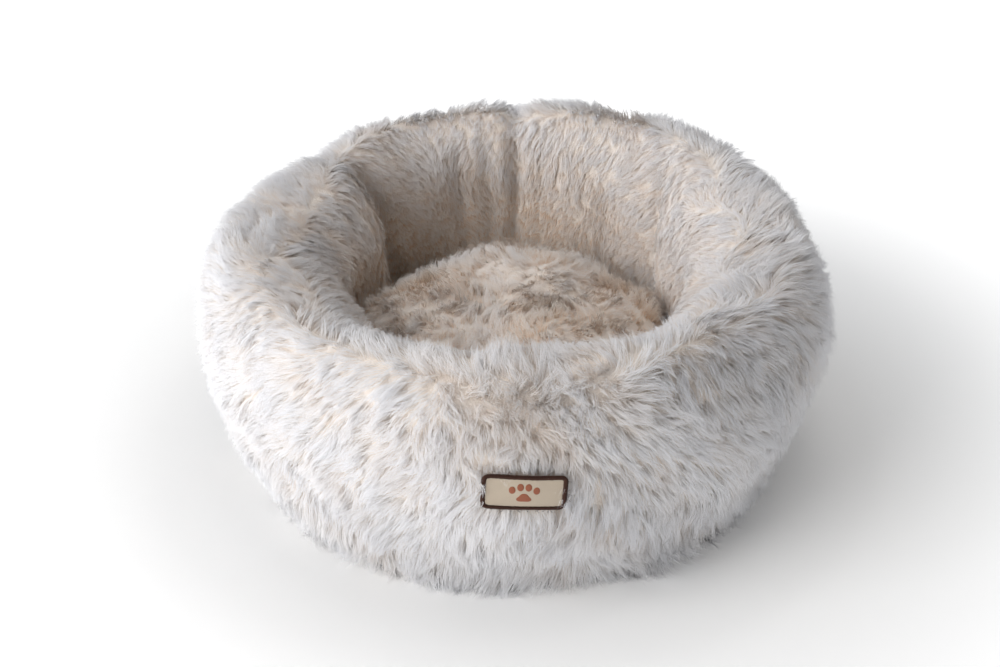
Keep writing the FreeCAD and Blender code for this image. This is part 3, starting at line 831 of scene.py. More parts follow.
@dataclass
class Wall:
    """Puffed ring wall with its fur, its base and its inner foot."""

    radius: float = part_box("wall_cover")[1].x
    height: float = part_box("wall_cover")[1].z
    foot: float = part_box("base_sheet")[1].x
    well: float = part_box("cushion_top_cover")[1].x + 3 * MM
    floor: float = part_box("wall_cover")[0].z
    pile: float = 11.0 * MM
    belly: float = 0.126
    well_belly: float = 0.145
    crest: float = 0.2
    turns: int = 240
    creases: tuple[Crease, ...] = (
        Crease(178.0, 178.0, 3.0, 11 * MM, 1.0, 0.35, 9 * MM),
        Crease(170.0, 171.0, 2.0, 4 * MM, 0.8, 0.0, 1 * MM),
        Crease(187.0, 186.0, 2.2, 6 * MM, 0.8, 0.0, 0.0),
        Crease(196.0, 194.0, 2.5, 5 * MM, 0.7, 0.0, 0.0),
        Crease(-130.0, -143.0, 5.0, 20 * MM, 1.0, 0.1, 6 * MM),
        Crease(130.0, 120.0, 4.5, 14 * MM, 1.0, 0.0, 1 * MM),
        Crease(150.0, 150.0, 5.0, 4 * MM, 0.3, 0.2, 3 * MM),
        Crease(8.0, 10.0, 5.0, 5 * MM, 0.5, 0.5, 3 * MM),
    )
    lobes: tuple[Lobe, ...] = (
        Lobe(-127.0, -60.0, 5.0, 30.0, -13.0, 27 * MM),
        Lobe(60.0, 127.0, 30.0, 6.0, -10.0, 20 * MM),
    )

    def outline(self, theta: np.ndarray, inset: float) -> tuple[np.ndarray, np.ndarray]:
        """Section of the wall at each bearing, from its outer foot over the crest to its inner foot.

        Args:
            theta: Bearings in radians.
            inset: Depth below the pile.

        Returns:
            Radius and height, one row for each bearing.
        """
        back_right = around(theta, turn(150), 0.9)
        back_left = around(theta, turn(-140), 0.9)
        sides = around(theta, turn(-90), 0.75) + around(theta, turn(90), 0.75)
        top = self.height - inset + 11 * MM * back_right - 3 * MM * back_left - 1 * MM
        for fold in self.creases:
            top = top - fold.crest * around(theta, turn(fold.top), math.radians(fold.width))
        outer, inner = self.radius - inset, self.well + inset + 14 * MM
        crest = self.crest + 3 * MM * (1 - sides)
        foot, inner_foot = self.foot - inset * 0.2, self.well + inset + 6 * MM

        count = 40
        t = np.linspace(0, 1, count)[None]
        bow = np.linspace(0, math.pi / 2, count)[None]
        crest, top = crest[:, None], top[:, None]
        flat = np.zeros_like(crest)
        power = 2 / 2.15
        low_r = outer - (outer - foot) * (1 - t) ** 2.0 + flat
        low_z = self.floor + (self.belly - self.floor) * t + flat
        high_r = crest + (outer - crest) * np.cos(bow) ** power
        high_z = self.belly + (top - self.belly) * np.sin(bow) ** power
        in_r = crest - (crest - inner) * np.cos(bow[:, ::-1]) ** power
        in_z = self.well_belly + (top - self.well_belly) * np.sin(bow[:, ::-1]) ** power
        down_r = inner + (inner_foot - inner) * t**2.0 + flat
        down_z = self.well_belly + (self.floor - self.well_belly) * t + flat
        r = np.concatenate([low_r, high_r[:, 1:], in_r[:, 1:], down_r[:, 1:]], 1)
        z = np.concatenate([low_z, high_z[:, 1:], in_z[:, 1:], down_z[:, 1:]], 1)
        return r, z

    def pull(self, points: np.ndarray) -> tuple[np.ndarray, np.ndarray]:
        """How far the creases pull each point of the wall in, and how firmly they hold it.

        Args:
            points: Points on the wall.

        Returns:
            Radial shift in metres and a hold from 0 to 1.
        """
        theta = np.arctan2(points[:, 1], points[:, 0])
        r = np.hypot(points[:, 0], points[:, 1])
        inside = smooth(0.0, 0.035, self.crest - r)
        outside = smooth(0.0, 0.035, r - self.crest)
        sunk = np.clip(1 - points[:, 2] / self.height, 0, 1)
        shift = np.zeros(len(points))
        hold = np.zeros(len(points))
        bearing = np.degrees(bearing_gap(theta, FRONT))
        round_in = smooth(-0.02, 0.05, self.crest - r)
        for lobe in self.lobes:
            on_left = lobe.start < 0
            first = lobe.start + (lobe.slant if on_left else 0.0) * sunk
            last = lobe.end + (0.0 if on_left else lobe.slant) * sunk
            start = smooth(first - lobe.soft_start, first, bearing)
            end = 1 - smooth(last, last + lobe.soft_end, bearing)
            shift -= lobe.depth * start * end * round_in
        for fold in self.creases:
            middle = turn(0) + np.radians(fold.top + (fold.bottom - fold.top) * sunk)
            gap = bearing_gap(theta, middle)
            near = np.exp(-((gap / math.radians(fold.width)) ** 2))
            core = np.exp(-((gap / math.radians(fold.width * 0.35)) ** 2))
            shift += near * fold.depth * (inside * fold.inside - outside * fold.outside)
            hold = np.maximum(hold, core * np.clip(inside * fold.inside + outside * fold.outside, 0, 1))
        return shift, hold

    def skin(self, name: str, inset: float) -> bpy.types.Object:
        """Closed skin of the wall at a depth below the pile, before it is blown up.

        Args:
            name: Name of the piece.
            inset: Depth below the pile.

        Returns:
            The skin.
        """
        theta = np.linspace(0, TAU, self.turns, endpoint=False)
        r, z = self.outline(theta, inset)
        rows = r.shape[1]
        points = ray(np.repeat(theta, rows)) * r.reshape(-1, 1)
        points[:, 2] = z.ravel()
        shift, _ = self.pull(points)
        ways = ray(np.arctan2(points[:, 1], points[:, 0]))
        points = points + ways * shift[:, None]
        roll = Wander(11, 0.11)
        swell = roll.at(points) * 2.2 * MM * smooth(0.0, 0.03, points[:, 2] - self.floor)
        points = points + ways * swell[:, None]
        points = points.reshape(self.turns, rows, 3).transpose(1, 0, 2)
        faces = grid_faces(rows + 1, self.turns)
        wrapped = [tuple(n % (rows * self.turns) for n in face) for face in faces]
        return mesh_object(name, points.reshape(-1, 3), [f[::-1] for f in wrapped])

    def build(self) -> tuple[bpy.types.Object, Surface]:
        """Builds and blows up the skin.

        Returns:
            The skin and its surface for the fur.
        """
        skin = self.skin("wall_backing", self.pile)
        puff = Puff()
        puff.remesh(skin)
        surface = Surface.of(skin)
        _, hold = self.pull(surface.points)
        hold = np.maximum(hold, smooth(0.02, 0.004, surface.points[:, 2]))
        puff.blow(skin, hold)
        skin.data.polygons.foreach_set("use_smooth", [True] * len(skin.data.polygons))
        return skin, Surface.of(skin)


@dataclass
class WallComb(Comb):
    """How the wall's fur is combed."""

    wall: Wall
    label: "Label"
    pile_mm: float = 17.0
    foot_extra: float = 7 * MM
    over_crest: float = 13 * MM
    off_floor: float = 0.6 * MM
    curl_place: tuple[float, float] = (0.005, 0.165)
    curl_reach: tuple[float, float] = (0.06, 0.035)

    def lay(self, roots: np.ndarray, normals: np.ndarray) -> Lay:
        """How the pile lies at each root of the wall.

        Args:
            roots: Where the tufts grow.
            normals: Which way the wall faces there.

        Returns:
            The lay.
        """
        theta = np.arctan2(roots[:, 1], roots[:, 0])
        out, sideways = ray(theta), ray(theta + math.pi / 2)
        facing_out = (normals * out).sum(1)
        facing_up = normals[:, 2]
        over = unit(out * -facing_up[:, None] + UP * facing_out[:, None])
        front = around(theta, turn(0), 1.0)
        near_front = around(theta, turn(2), 0.55)
        left, right = around(theta, turn(-95), 0.8), around(theta, turn(95), 0.8)
        back = around(theta, turn(180), 0.8)

        part = 0.05 + 0.62 * near_front - 0.45 * left - 0.35 * right + 0.1 * back
        part = part + 0.22 * Wander(21, 0.09).at(roots)
        outward = smooth(-0.28, 0.28, facing_out - part)
        sway_out = np.cos(theta) * (0.35 + 0.75 * front * smooth(0.05, 0.19, roots[:, 2]))
        gather = -np.sin(theta - turn(180)) * around(theta, turn(180), 0.7) * 1.1
        sway_in = gather + 0.25 * Wander(22, 0.08).at(roots)
        along = over * (1 - 2 * outward)[:, None]
        flow = along + sideways * (sway_out * outward + sway_in * (1 - outward))[:, None]
        wide, fine = Wander(23, 0.12).at(roots) * 0.35, Wander(24, 0.035).at(roots) * 0.32
        inner = smooth(0.05, -0.35, facing_out)
        swirl = (wide + fine) * (1 - 0.45 * inner)
        flow = flow + 0.15 * sideways * Wander(25, 0.05).at(roots)[:, None]
        low = smooth(0.045, 0.008, roots[:, 2]) * smooth(-0.4, 0.2, facing_out)
        flow = flow + (out * 1.5 - UP * 0.6) * low[:, None]
        flow = unit(flow - normals * (flow * normals).sum(1)[:, None])
        side = unit(np.cross(flow, normals))
        flow = unit(flow * np.cos(swirl)[:, None] + side * np.sin(swirl)[:, None])

        x, z = roots[:, 0], roots[:, 2]
        curl_x = (x - self.curl_place[0]) / self.curl_reach[0]
        curl_z = (z - self.curl_place[1]) / self.curl_reach[1]
        curls = np.exp(-(curl_x ** 2) - (curl_z ** 2)) * (roots[:, 1] < -0.1)
        parting = np.exp(-(((facing_out - part) / 0.22) ** 2))
        shag = around(theta, turn(12), 0.95) * (1 - inner)
        mess = 0.12 + 0.10 * shag + 0.4 * curls + 0.15 * parting * (0.4 + 0.6 * near_front)
        mess = mess * (1 - 0.85 * inner)
        uneven = 1.5 * Wander(26, 0.05).at(roots)
        length = (self.pile_mm - 4 * inner + 4 * shag + 4 * right * (1 - inner) + uneven) * MM
        length = length + self.foot_extra * low
        length = length * (1 - 0.15 * curls) * (1 - 0.25 * inner * smooth(0.17, 0.13, z))
        shut, _ = self.wall.pull(roots)
        length = length * (1 - 0.3 * inner * smooth(0.0, 8 * MM, shut))
        length = self.label.spare(roots, length)
        lift = 0.42 + 0.14 * shag + (0.08 + 0.4 * near_front) * parting + 0.07 * Wander(27, 0.03).at(roots)
        lift = lift * (1 - 0.72 * inner) - 0.08 * back * (1 - inner)
        bunch = 0.18 + 0.1 * Wander(28, 0.06).at(roots) + 0.08 * shag
        bunch = bunch + 0.34 * right - 0.14 * left - 0.2 * parting
        bunch = np.clip(bunch + 0.15 * curls - 0.5 * inner, 0.0, 0.6)
        # Painted warm shade: tan roots in the front curls and inside the well, most low down and away from
        # the right, where the left rim shades the wall.
        well_shade = smooth(0.2, 0.1, z) * (1 - 0.7 * smooth(0.02, 0.14, x))
        warmth = 0.04 + 0.35 * curls + inner * (0.2 + 0.75 * well_shade)
        warmth = np.clip(warmth + 0.08 * Wander(29, 0.04).at(roots), 0, 1)
        sleek = np.clip(0.42 + 0.5 * inner + 0.25 * left - 0.35 * right * (1 - inner) - 0.2 * curls, 0, 1)
        under = (facing_up < -0.8) & (np.hypot(roots[:, 0], roots[:, 1]) < self.wall.foot - 0.022)
        keep = np.where(under, 0.0, 0.74 + 0.26 * np.maximum(parting, curls))
        keep = keep * (1 - self.label.covers(roots))
        return Lay(flow, mess, length, lift, bunch, warmth, sleek, keep)

    def settle(self, path: np.ndarray) -> np.ndarray:
        """Keeps strands above the floor and below the highest that the crest may reach."""
        most = self.wall.height + self.over_crest
        path[..., 2] = np.where(path[..., 2] > most, most - 0.3 * (path[..., 2] - most), path[..., 2])
        low = path[..., 2] < self.off_floor
        lifted = self.off_floor + 0.06 * np.abs(path[..., 2] - self.off_floor)
        path[..., 2] = np.where(low, lifted, path[..., 2])
        return path


# ---------------------------------------------------------------------------------------- the cushion


@dataclass
class Cushion:
    """Loose puffed cushion in the well."""

    radius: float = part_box("cushion_top_cover")[1].x
    top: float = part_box("cushion_top_cover")[1].z
    seam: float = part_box("cushion_edge_seam")[0].z
    floor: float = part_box("cushion_bottom_cover")[0].z
    pile: float = 10.0 * MM
    turns: int = 120
    whorl: tuple[float, float] = (0.026, 0.050)

    def skin(self) -> bpy.types.Object:
        """Closed skin of the cushion, before it is blown up."""
        theta = np.linspace(0, TAU, self.turns, endpoint=False)
        edge = self.radius - self.pile * 0.7
        crown = self.top - self.pile + 1 * MM
        bow = np.linspace(math.pi / 2, 0, 26)[:-1]
        upper_r, upper_z = edge * np.cos(bow) ** 0.5, self.seam + (crown - self.seam) * np.sin(bow) ** 0.6
        drop = self.seam - self.floor
        bow = np.linspace(0, math.pi / 2, 16)
        lower_r = edge - drop + drop * np.cos(bow) + 1.2 * MM
        lower_z = self.seam - drop * np.sin(bow)
        r, z = np.concatenate([upper_r[1:], lower_r]), np.concatenate([upper_z[1:], lower_z])
        rows = len(r)
        points = ray(np.tile(theta, rows)) * np.repeat(r, self.turns)[:, None]
        points[:, 2] = np.repeat(z, self.turns)
        lumps = Wander(31, 0.075).at(points) * 3.5 * MM
        near = np.hypot(points[:, 0] - self.whorl[0], points[:, 1] - self.whorl[1])
        lumps = lumps + 4 * MM * np.exp(-((near / 0.035) ** 2))
        lumps = lumps - 3 * MM * np.exp(-(((near - 0.055) / 0.012) ** 2))
        points[:, 2] += lumps * smooth(self.seam + 10 * MM, self.seam + 40 * MM, points[:, 2])
        crown_point = np.array([[0, 0, crown]])
        base_point = np.array([[0, 0, self.floor]])
        points = np.concatenate([points, crown_point, base_point])
        faces = grid_faces(rows, self.turns)
        last = rows * self.turns
        faces = [f[::-1] for f in faces]
        for j in range(self.turns):
            k = (j + 1) % self.turns
            faces.append((last, j, k))
            faces.append((last + 1, (rows - 1) * self.turns + k, (rows - 1) * self.turns + j))
        return mesh_object("cushion_backing", points, faces)

    def build(self) -> tuple[bpy.types.Object, Surface]:
        """Builds and blows up the skin.

        Returns:
            The skin and its surface for the fur.
        """
        skin = self.skin()
        puff = Puff(voxel=5.0 * MM, limit=5 * MM)
        puff.remesh(skin)
        surface = Surface.of(skin)
        level = np.abs(surface.points[:, 2] - self.seam)
        hold = np.maximum(smooth(8 * MM, 3 * MM, level), smooth(0.012, 0.005, surface.points[:, 2]))
        puff.blow(skin, hold)
        skin.data.polygons.foreach_set("use_smooth", [True] * len(skin.data.polygons))
        return skin, Surface.of(skin)


@dataclass
class CushionComb(Comb):
    """How the cushion's fur is combed: tousled curls round one smooth whorl."""

    cushion: Cushion

    def lay(self, roots: np.ndarray, normals: np.ndarray) -> Lay:
        """How the pile lies at each root of the cushion.

        Args:
            roots: Where the tufts grow.
            normals: Which way the cushion faces there.

        Returns:
            The lay.
        """
        middle = np.array([*self.cushion.whorl, 0.0])
        away = (roots - middle) * np.array([1.0, 1.0, 0.0])
        gap = np.linalg.norm(away, axis=1)
        calm = np.exp(-((gap / 0.038) ** 2))
        swirl = np.stack([Wander(41, 0.07).at(roots), Wander(42, 0.07).at(roots), 0 * gap], 1)
        flow = unit(swirl + 0.001) * (1 - calm)[:, None] + unit(away) * (0.35 + 1.2 * calm)[:, None]
        flow = unit(flow - normals * (flow * normals).sum(1)[:, None])
        mess = 0.46 * (1 - calm) + 0.06
        length = (15 + 2 * calm + 2 * Wander(43, 0.05).at(roots)) * MM
        lift = 0.62 - 0.2 * calm + 0.15 * Wander(44, 0.03).at(roots)
        bunch = 0.46 * (1 - calm) + 0.08
        # Painted warm shade: tan roots between the cushion's curls, less on the smooth whorl and more
        # towards the right.
        warmth = 0.72 + 0.3 * smooth(0.0, 0.09, roots[:, 0]) - 0.4 * calm + 0.2 * Wander(45, 0.05).at(roots)
        warmth = np.clip(warmth, 0, 1)
        sleek = 0.62 + 0.28 * calm
        keep = smooth(self.cushion.seam - 2 * MM, self.cushion.seam + 6 * MM, roots[:, 2])
        return Lay(flow, mess, length, lift, bunch, warmth, sleek, keep)

    def settle(self, path: np.ndarray) -> np.ndarray:
        """Keeps strands within the cushion's own room in the well."""
        r = np.hypot(path[..., 0], path[..., 1])
        most = self.cushion.radius - 1 * MM
        squeeze = np.where(r > most, most / np.maximum(r, 1e-6), 1.0)
        path[..., :2] *= squeeze[..., None]
        return path


# ---------------------------------------------------------------------------------------- the label


class Thread:
    """Bent round threads gathered into one piece."""

    def __init__(self, name: str, sides: int = 5) -> None:
        """Starts an empty piece."""
        self.name = name
        self.sides = sides
        self.points: list[np.ndarray] = []
        self.faces: list[tuple[int, ...]] = []
        self.count = 0

    def run(self, line: np.ndarray, radius: float, taper: float = 0.6) -> None:
        """Adds one thread along a line.

        Args:
            line: Points of the thread's middle.
            radius: Its radius.
            taper: Share of the radius that is left at the two ends.
        """
        rows = len(line)
        ahead = unit(np.gradient(line, axis=0))
        side = unit(np.cross(ahead, UP + np.array([0.13, 0.21, 0.0])))
        over = unit(np.cross(side, ahead))
        turns = np.linspace(0, TAU, self.sides, endpoint=False)
        ring = side[:, None] * np.cos(turns)[None, :, None] + over[:, None] * np.sin(turns)[None, :, None]
        ends = np.abs(np.linspace(-1, 1, rows)) ** 6
        size = radius * (1 - (1 - taper) * ends)
        self.points.append((line[:, None] + ring * size[:, None, None]).reshape(-1, 3))
        self.faces += grid_faces(rows, self.sides, True, self.count)
        last = self.count + (rows - 1) * self.sides
        self.faces.append(tuple(self.count + k for k in reversed(range(self.sides))))
        self.faces.append(tuple(last + k for k in range(self.sides)))
        self.count += rows * self.sides

    def make(self) -> bpy.types.Object:
        """Makes the piece."""
        return mesh_object(self.name, np.concatenate(self.points), self.faces)


@dataclass
class Label:
    """Woven patch on the front of the wall, with an overlocked edge and a paw print."""

    width: float = 60 * MM
    height: float = 30 * MM
    corner: float = 5 * MM
    border: float = 3 * MM
    level: float = 0.118
    offset: float = 7 * MM
    tilt: float = math.radians(3.0)
    radius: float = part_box("wall_cover")[1].x - 1.0 * MM
    belly: float = 0.126
    belly_round: float = 0.11
    cloth: float = 0.8 * MM
    stitch: float = 2.4 * MM
    stitch_pitch: float = 3.6 * MM
    loop_pitch: float = 0.72 * MM
    loop_radius: float = 0.42 * MM

    def local(self, points: np.ndarray) -> tuple[np.ndarray, np.ndarray]:
        """Places of points across and up the patch, in metres from its middle."""
        theta = np.arctan2(points[..., 1], points[..., 0])
        across = bearing_gap(theta, FRONT) * self.radius - self.offset
        up = points[..., 2] - self.level
        cos, sin = math.cos(self.tilt), math.sin(self.tilt)
        return across * cos - up * sin, across * sin + up * cos

    def at(self, u: np.ndarray, v: np.ndarray, lift: np.ndarray | float) -> np.ndarray:
        """Points over the patch.

        Args:
            u: Across the patch, in metres from its middle.
            v: Up the patch, the same.
            lift: Height over the cloth's face.

        Returns:
            The points.
        """
        cos, sin = math.cos(self.tilt), math.sin(self.tilt)
        across, up = u * cos + v * sin, v * cos - u * sin
        theta = FRONT + (across + self.offset) / self.radius
        z = self.level + up
        sag = (z - self.belly) ** 2 / (2 * self.belly_round)
        slack = 0.45 * MM * np.sin(u * 95 + 1.0) * np.cos(v * 120 - 0.5)
        left_edge, top_edge = u + self.width / 2, v - self.height / 2
        curl = 1.2 * MM * np.exp(-((left_edge / 0.006) ** 2 + (top_edge / 0.006) ** 2))
        reach = self.radius - sag + slack + curl + lift
        points = ray(theta) * reach[..., None]
        points[..., 2] = z
        return points

    def rim(self, share: np.ndarray, inset: float) -> tuple[np.ndarray, np.ndarray, np.ndarray, np.ndarray]:
        """Points of the patch's outline at shares of the way round, and the outward way there.

        Args:
            share: Shares of the way round, from 0 to 1.
            inset: How far inside the edge the outline runs.

        Returns:
            Across and up, then the outward way's parts across and up.
        """
        w, h, c = self.width / 2 - inset, self.height / 2 - inset, max(self.corner - inset, 0.5 * MM)
        corner_turns = np.linspace(0, math.pi / 2, 7)
        u, v = [], []
        for k, (su, sv) in enumerate(((1, 1), (-1, 1), (-1, -1), (1, -1))):
            bow = corner_turns + k * math.pi / 2
            u.append(su * (w - c) + c * np.cos(bow))
            v.append(sv * (h - c) + c * np.sin(bow))
        u, v = np.append(np.concatenate(u), u[0][0]), np.append(np.concatenate(v), v[0][0])
        run = np.concatenate([[0], np.cumsum(np.hypot(np.diff(u), np.diff(v)))])
        place = share * run[-1]
        x, y = np.interp(place, run, u), np.interp(place, run, v)
        step = 0.4 * MM
        ahead = np.mod(place + step, run[-1])
        before = np.mod(place - step, run[-1])
        tu = np.interp(ahead, run, u) - np.interp(before, run, u)
        tv = np.interp(ahead, run, v) - np.interp(before, run, v)
        size = np.maximum(np.hypot(tu, tv), 1e-9)
        return x, y, tv / size, -tu / size

    def covers(self, roots: np.ndarray) -> np.ndarray:
        """1 where a root lies under the patch."""
        across, up = self.local(roots)
        inside = (np.abs(across) < self.width / 2 - 1 * MM) & (np.abs(up) < self.height / 2 - 1 * MM)
        front = np.hypot(roots[:, 0], roots[:, 1]) > self.radius - 0.05
        return (inside & front & (roots[:, 1] < 0)).astype(float)

    def spare(self, roots: np.ndarray, length: np.ndarray) -> np.ndarray:
        """Shortens the pile above the patch, so that only its upper right edge is overgrown.

        Args:
            roots: Where the tufts grow.
            length: Their length.

        Returns:
            The new length.
        """
        across, up = self.local(roots)
        gap = up - self.height / 2
        above = (np.abs(across) < self.width / 2 + 3 * MM) & (gap > -1 * MM) & (roots[:, 1] < 0)
        above = above & (np.hypot(roots[:, 0], roots[:, 1]) > self.radius - 0.05)
        over = 6 * MM + 6 * MM * smooth(2 * MM, 24 * MM, across)
        return np.where(above, np.minimum(length, np.maximum(gap, 0) * 0.9 + over), length)

    def patch(self) -> bpy.types.Object:
        """The cloth of the patch."""
        rings, around_it = 12, 120
        share = np.linspace(0, 1, around_it, endpoint=False)
        u, v, _, _ = self.rim(share, 1.2 * MM)
        scale = np.linspace(1, 0.03, rings)[:, None]
        front = self.at(u[None] * scale, v[None] * scale, 0.0)
        back = self.at(u[None] * scale, v[None] * scale, -self.cloth)[::-1]
        points = np.concatenate([back.reshape(-1, 3), front.reshape(-1, 3)])
        faces = grid_faces(2 * rings, around_it)
        last = (2 * rings - 1) * around_it
        faces.append(tuple(reversed(range(around_it))))
        faces.append(tuple(last + k for k in range(around_it)))
        return mesh_object("label_patch_cloth", points, faces)

    def edge(self) -> bpy.types.Object:
        """Overlock threads wound over the patch's edge, with a few frayed ends."""
        rng = np.random.default_rng(71)
        around_it = 2 * (self.width + self.height) - 8 * self.corner + TAU * self.corner
        count = int(around_it / self.loop_pitch)
        share = np.arange(count) / count
        u, v, nu, nv = self.rim(share, 0.3 * MM)
        threads = Thread("label_overlock")
        inward = np.array([-2.6, -2.3, -1.5, -0.5, 0.15, 0.25, -0.4, -1.6]) * MM
        lift = np.array([-0.2, 0.35, 0.75, 0.7, 0.25, -0.4, -0.95, -1.15]) * MM
        slant = np.linspace(-0.35, 0.35, len(lift)) * MM
        for k in range(count):
            long = rng.uniform(0.9, 1.08)
            reach = inward * np.where(inward < -2.0 * MM, long, 1.0)
            x = u[k] + nu[k] * reach - nv[k] * slant
            y = v[k] + nv[k] * reach + nu[k] * slant
            threads.run(self.at(x, y, lift + rng.normal(0, 0.06) * MM), self.loop_radius)
        steps = np.linspace(0, 1, 2 * count)
        u, v, nu, nv = self.rim(np.mod(steps, 1.0), 0.0)
        sway = 0.25 * MM * np.sin(steps * count * TAU / 2)
        threads.run(self.at(u + nu * sway, v + nv * sway, np.full_like(u, 0.1 * MM)), 0.4 * MM, 1.0)
        for place in rng.uniform(0, 1, 46):
            x, y, a, b = (float(n[0]) for n in self.rim(np.array([place]), 0.0))
            t = np.linspace(0, 1, 6)
            far, bow = rng.uniform(1.5, 4.0) * MM, rng.normal(0, 1.2) * MM
            line = self.at(x + a * far * t - b * bow * t**2, y + b * far * t + a * bow * t**2,
                           0.2 * MM + t * rng.uniform(-0.4, 1.4) * MM)
            threads.run(line, 0.1 * MM, 0.4)
        return threads.make()

    def paw(self) -> bpy.types.Object:
        """The paw print, as thin raised pads."""
        spread, toe, pad = self.height / 5, self.height / 11, self.height / 7
        drop = 1.0 * MM
        pads = [(0.0, -spread / 2 - drop, pad, 1.16, 0.16)]
        for k, rise in enumerate((0.65, 1.1, 1.1, 0.65)):
            pads.append(((k - 1.5) * spread * 0.95, spread * rise - drop, toe, 0.86, 0.0))
        points, faces, first = [], [], 0
        turns = np.linspace(0, TAU, 36, endpoint=False)
        for u, v, size, broad, three in pads:
            outline = size * (1 + three * np.cos(3 * (turns - math.pi / 2)))
            for scale, lift in ((1.0, -0.1), (1.0, 0.12), (0.93, 0.2), (0.5, 0.24), (0.02, 0.25)):
                x = u + outline * scale * np.cos(turns) * broad
                y = v + outline * scale * np.sin(turns) / broad
                points.append(self.at(x, y, lift * MM))
            faces += grid_faces(5, len(turns), True, first)
            faces.append(tuple(first + 4 * len(turns) + k for k in range(len(turns))))
            first += 5 * len(turns)
        return mesh_object("label_paw_print", np.concatenate(points), faces)

    def stitches(self) -> bpy.types.Object:
        """Stitches that hold the patch, through its border."""
        threads = Thread("label_hand_stitches", 6)
        half_w, half_h = (self.width - self.border) / 2, (self.height - self.border) / 2
        t = np.linspace(-1, 1, 7)
        sink = 0.85 - 0.9 * np.abs(t) ** 3
        runs = ((half_w - self.corner, half_h, True), (half_h - self.corner, half_w, False))
        for reach, side, flat in runs:
            count = int(2 * reach / self.stitch_pitch)
            for sign in (-1, 1):
                for k in range(count):
                    along = (k - (count - 1) / 2) * self.stitch_pitch + t * self.stitch / 2
                    across = np.full(7, sign * side)
                    u, v = (along, across) if flat else (across, along)
                    threads.run(self.at(u, v, sink * MM), 0.3 * MM)
        return threads.make()

    def build(self) -> None:
        """Builds the patch and dresses it."""
        cloth, edge, paw, stitches = self.patch(), self.edge(), self.paw(), self.stitches()
        table = (
            (cloth, "label_patch", ClothFinish("label_cloth", (0.60, 0.50, 0.385), 0.75 * MM, Weave.TWILL)),
            (edge, "label_border", ThreadFinish("label_border_thread", (0.085, 0.034, 0.021))),
            (paw, "label_motif", ClothFinish("label_print", (0.34, 0.10, 0.045), 0.6 * MM, relief=0.0001)),
            (stitches, "label_stitches", ThreadFinish("label_stitch_thread", (0.09, 0.045, 0.028))),
        )
        for piece, node, finish in table:
            dress(piece, finish.make())
            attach(piece, "bed")
            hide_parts(node)


@dataclass
class CareTag:
    """Blank folded tape sewn into the seam at the back foot."""

    width: float = 22 * MM
    reach: float = 23 * MM
    root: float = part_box("care_label")[1].y - 24 * MM
    cloth: float = 0.3 * MM

    def build(self) -> None:
        """Builds the tag and dresses it."""
        t = np.linspace(0, 1, 14)
        out = self.root + 1 * MM + t * self.reach
        rise = 1.2 * MM * t**2
        top_y, top_z = out, 1.25 * MM + rise + 0.5 * MM * np.sin(t * 3)
        low_y, low_z = out[::-1], (0.45 * MM + rise * 0.8)[::-1]
        y, z = np.concatenate([top_y, low_y]), np.concatenate([top_z, low_z])
        ahead = unit(np.stack([np.gradient(y), np.gradient(z)], 1))
        off_y, off_z = ahead[:, 1] * self.cloth / 2, -ahead[:, 0] * self.cloth / 2
        loop_y = np.concatenate([y + off_y, (y - off_y)[::-1]])
        loop_z = np.concatenate([z + off_z, (z - off_z)[::-1]])
        across = np.linspace(-self.width / 2, self.width / 2, 9)
        rows = []
        for x in across:
            warp = 0.25 * MM * math.sin(x * 260)
            sway = warp * np.clip((loop_y - self.root) / self.reach, 0, 1)
            rows.append(np.stack([np.full(len(loop_y), x), loop_y, loop_z + sway], 1))
        count = len(loop_y)
        faces = grid_faces(len(across), count)
        half = count // 2
        for row, turned in ((0, True), (len(across) - 1, False)):
            for k in range(half - 1):
                quad = tuple(row * count + n for n in (k, k + 1, count - 2 - k, count - 1 - k))
                faces.append(quad[::-1] if turned else quad)
        tag = mesh_object("care_tag", np.concatenate(rows), faces)
        tape = ClothFinish("care_tape", (0.88, 0.88, 0.86), 0.35 * MM, Weave.SATIN, facing="XY")
        dress(tag, tape.make())
        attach(tag, "bed")
        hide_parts("care_label")


@dataclass
class Underside:
    """The flat pieces that keep the frame's own shape, with their finishes."""

    nodes: dict[str, bpy.types.Object]

    def build(self) -> None:
        """Dresses the base, the well's floor, the seams and their threads."""
        looks = (
            (ClothFinish("cotton_tape", (0.80, 0.76, 0.68), 0.8 * MM, Weave.TWILL, facing="XY"),
             ("base_edge_seam", "well_edge_seam", "cushion_edge_seam")),
            (ThreadFinish("cream_thread", (0.86, 0.82, 0.75)),
             ("base_seam_thread", "well_seam_thread", "cushion_seam_thread")),
            (ClothFinish("lining_cloth", (0.80, 0.75, 0.67), 0.6 * MM, facing="XY"), ("well_floor_lining",)),
            (ClothFinish("non_slip_cloth", (0.27, 0.26, 0.25), 1.0 * MM, relief=0.0002, facing="XY"),
             ("base_sheet",)),
            (RubberFinish("grip_rubber"), ("base_grip_dots",)),
        )
        for finish, names in looks:
            material = finish.make()
            for name in names:
                dress(self.nodes[name], material)


# ---------------------------------------------------------------------------------------- studio


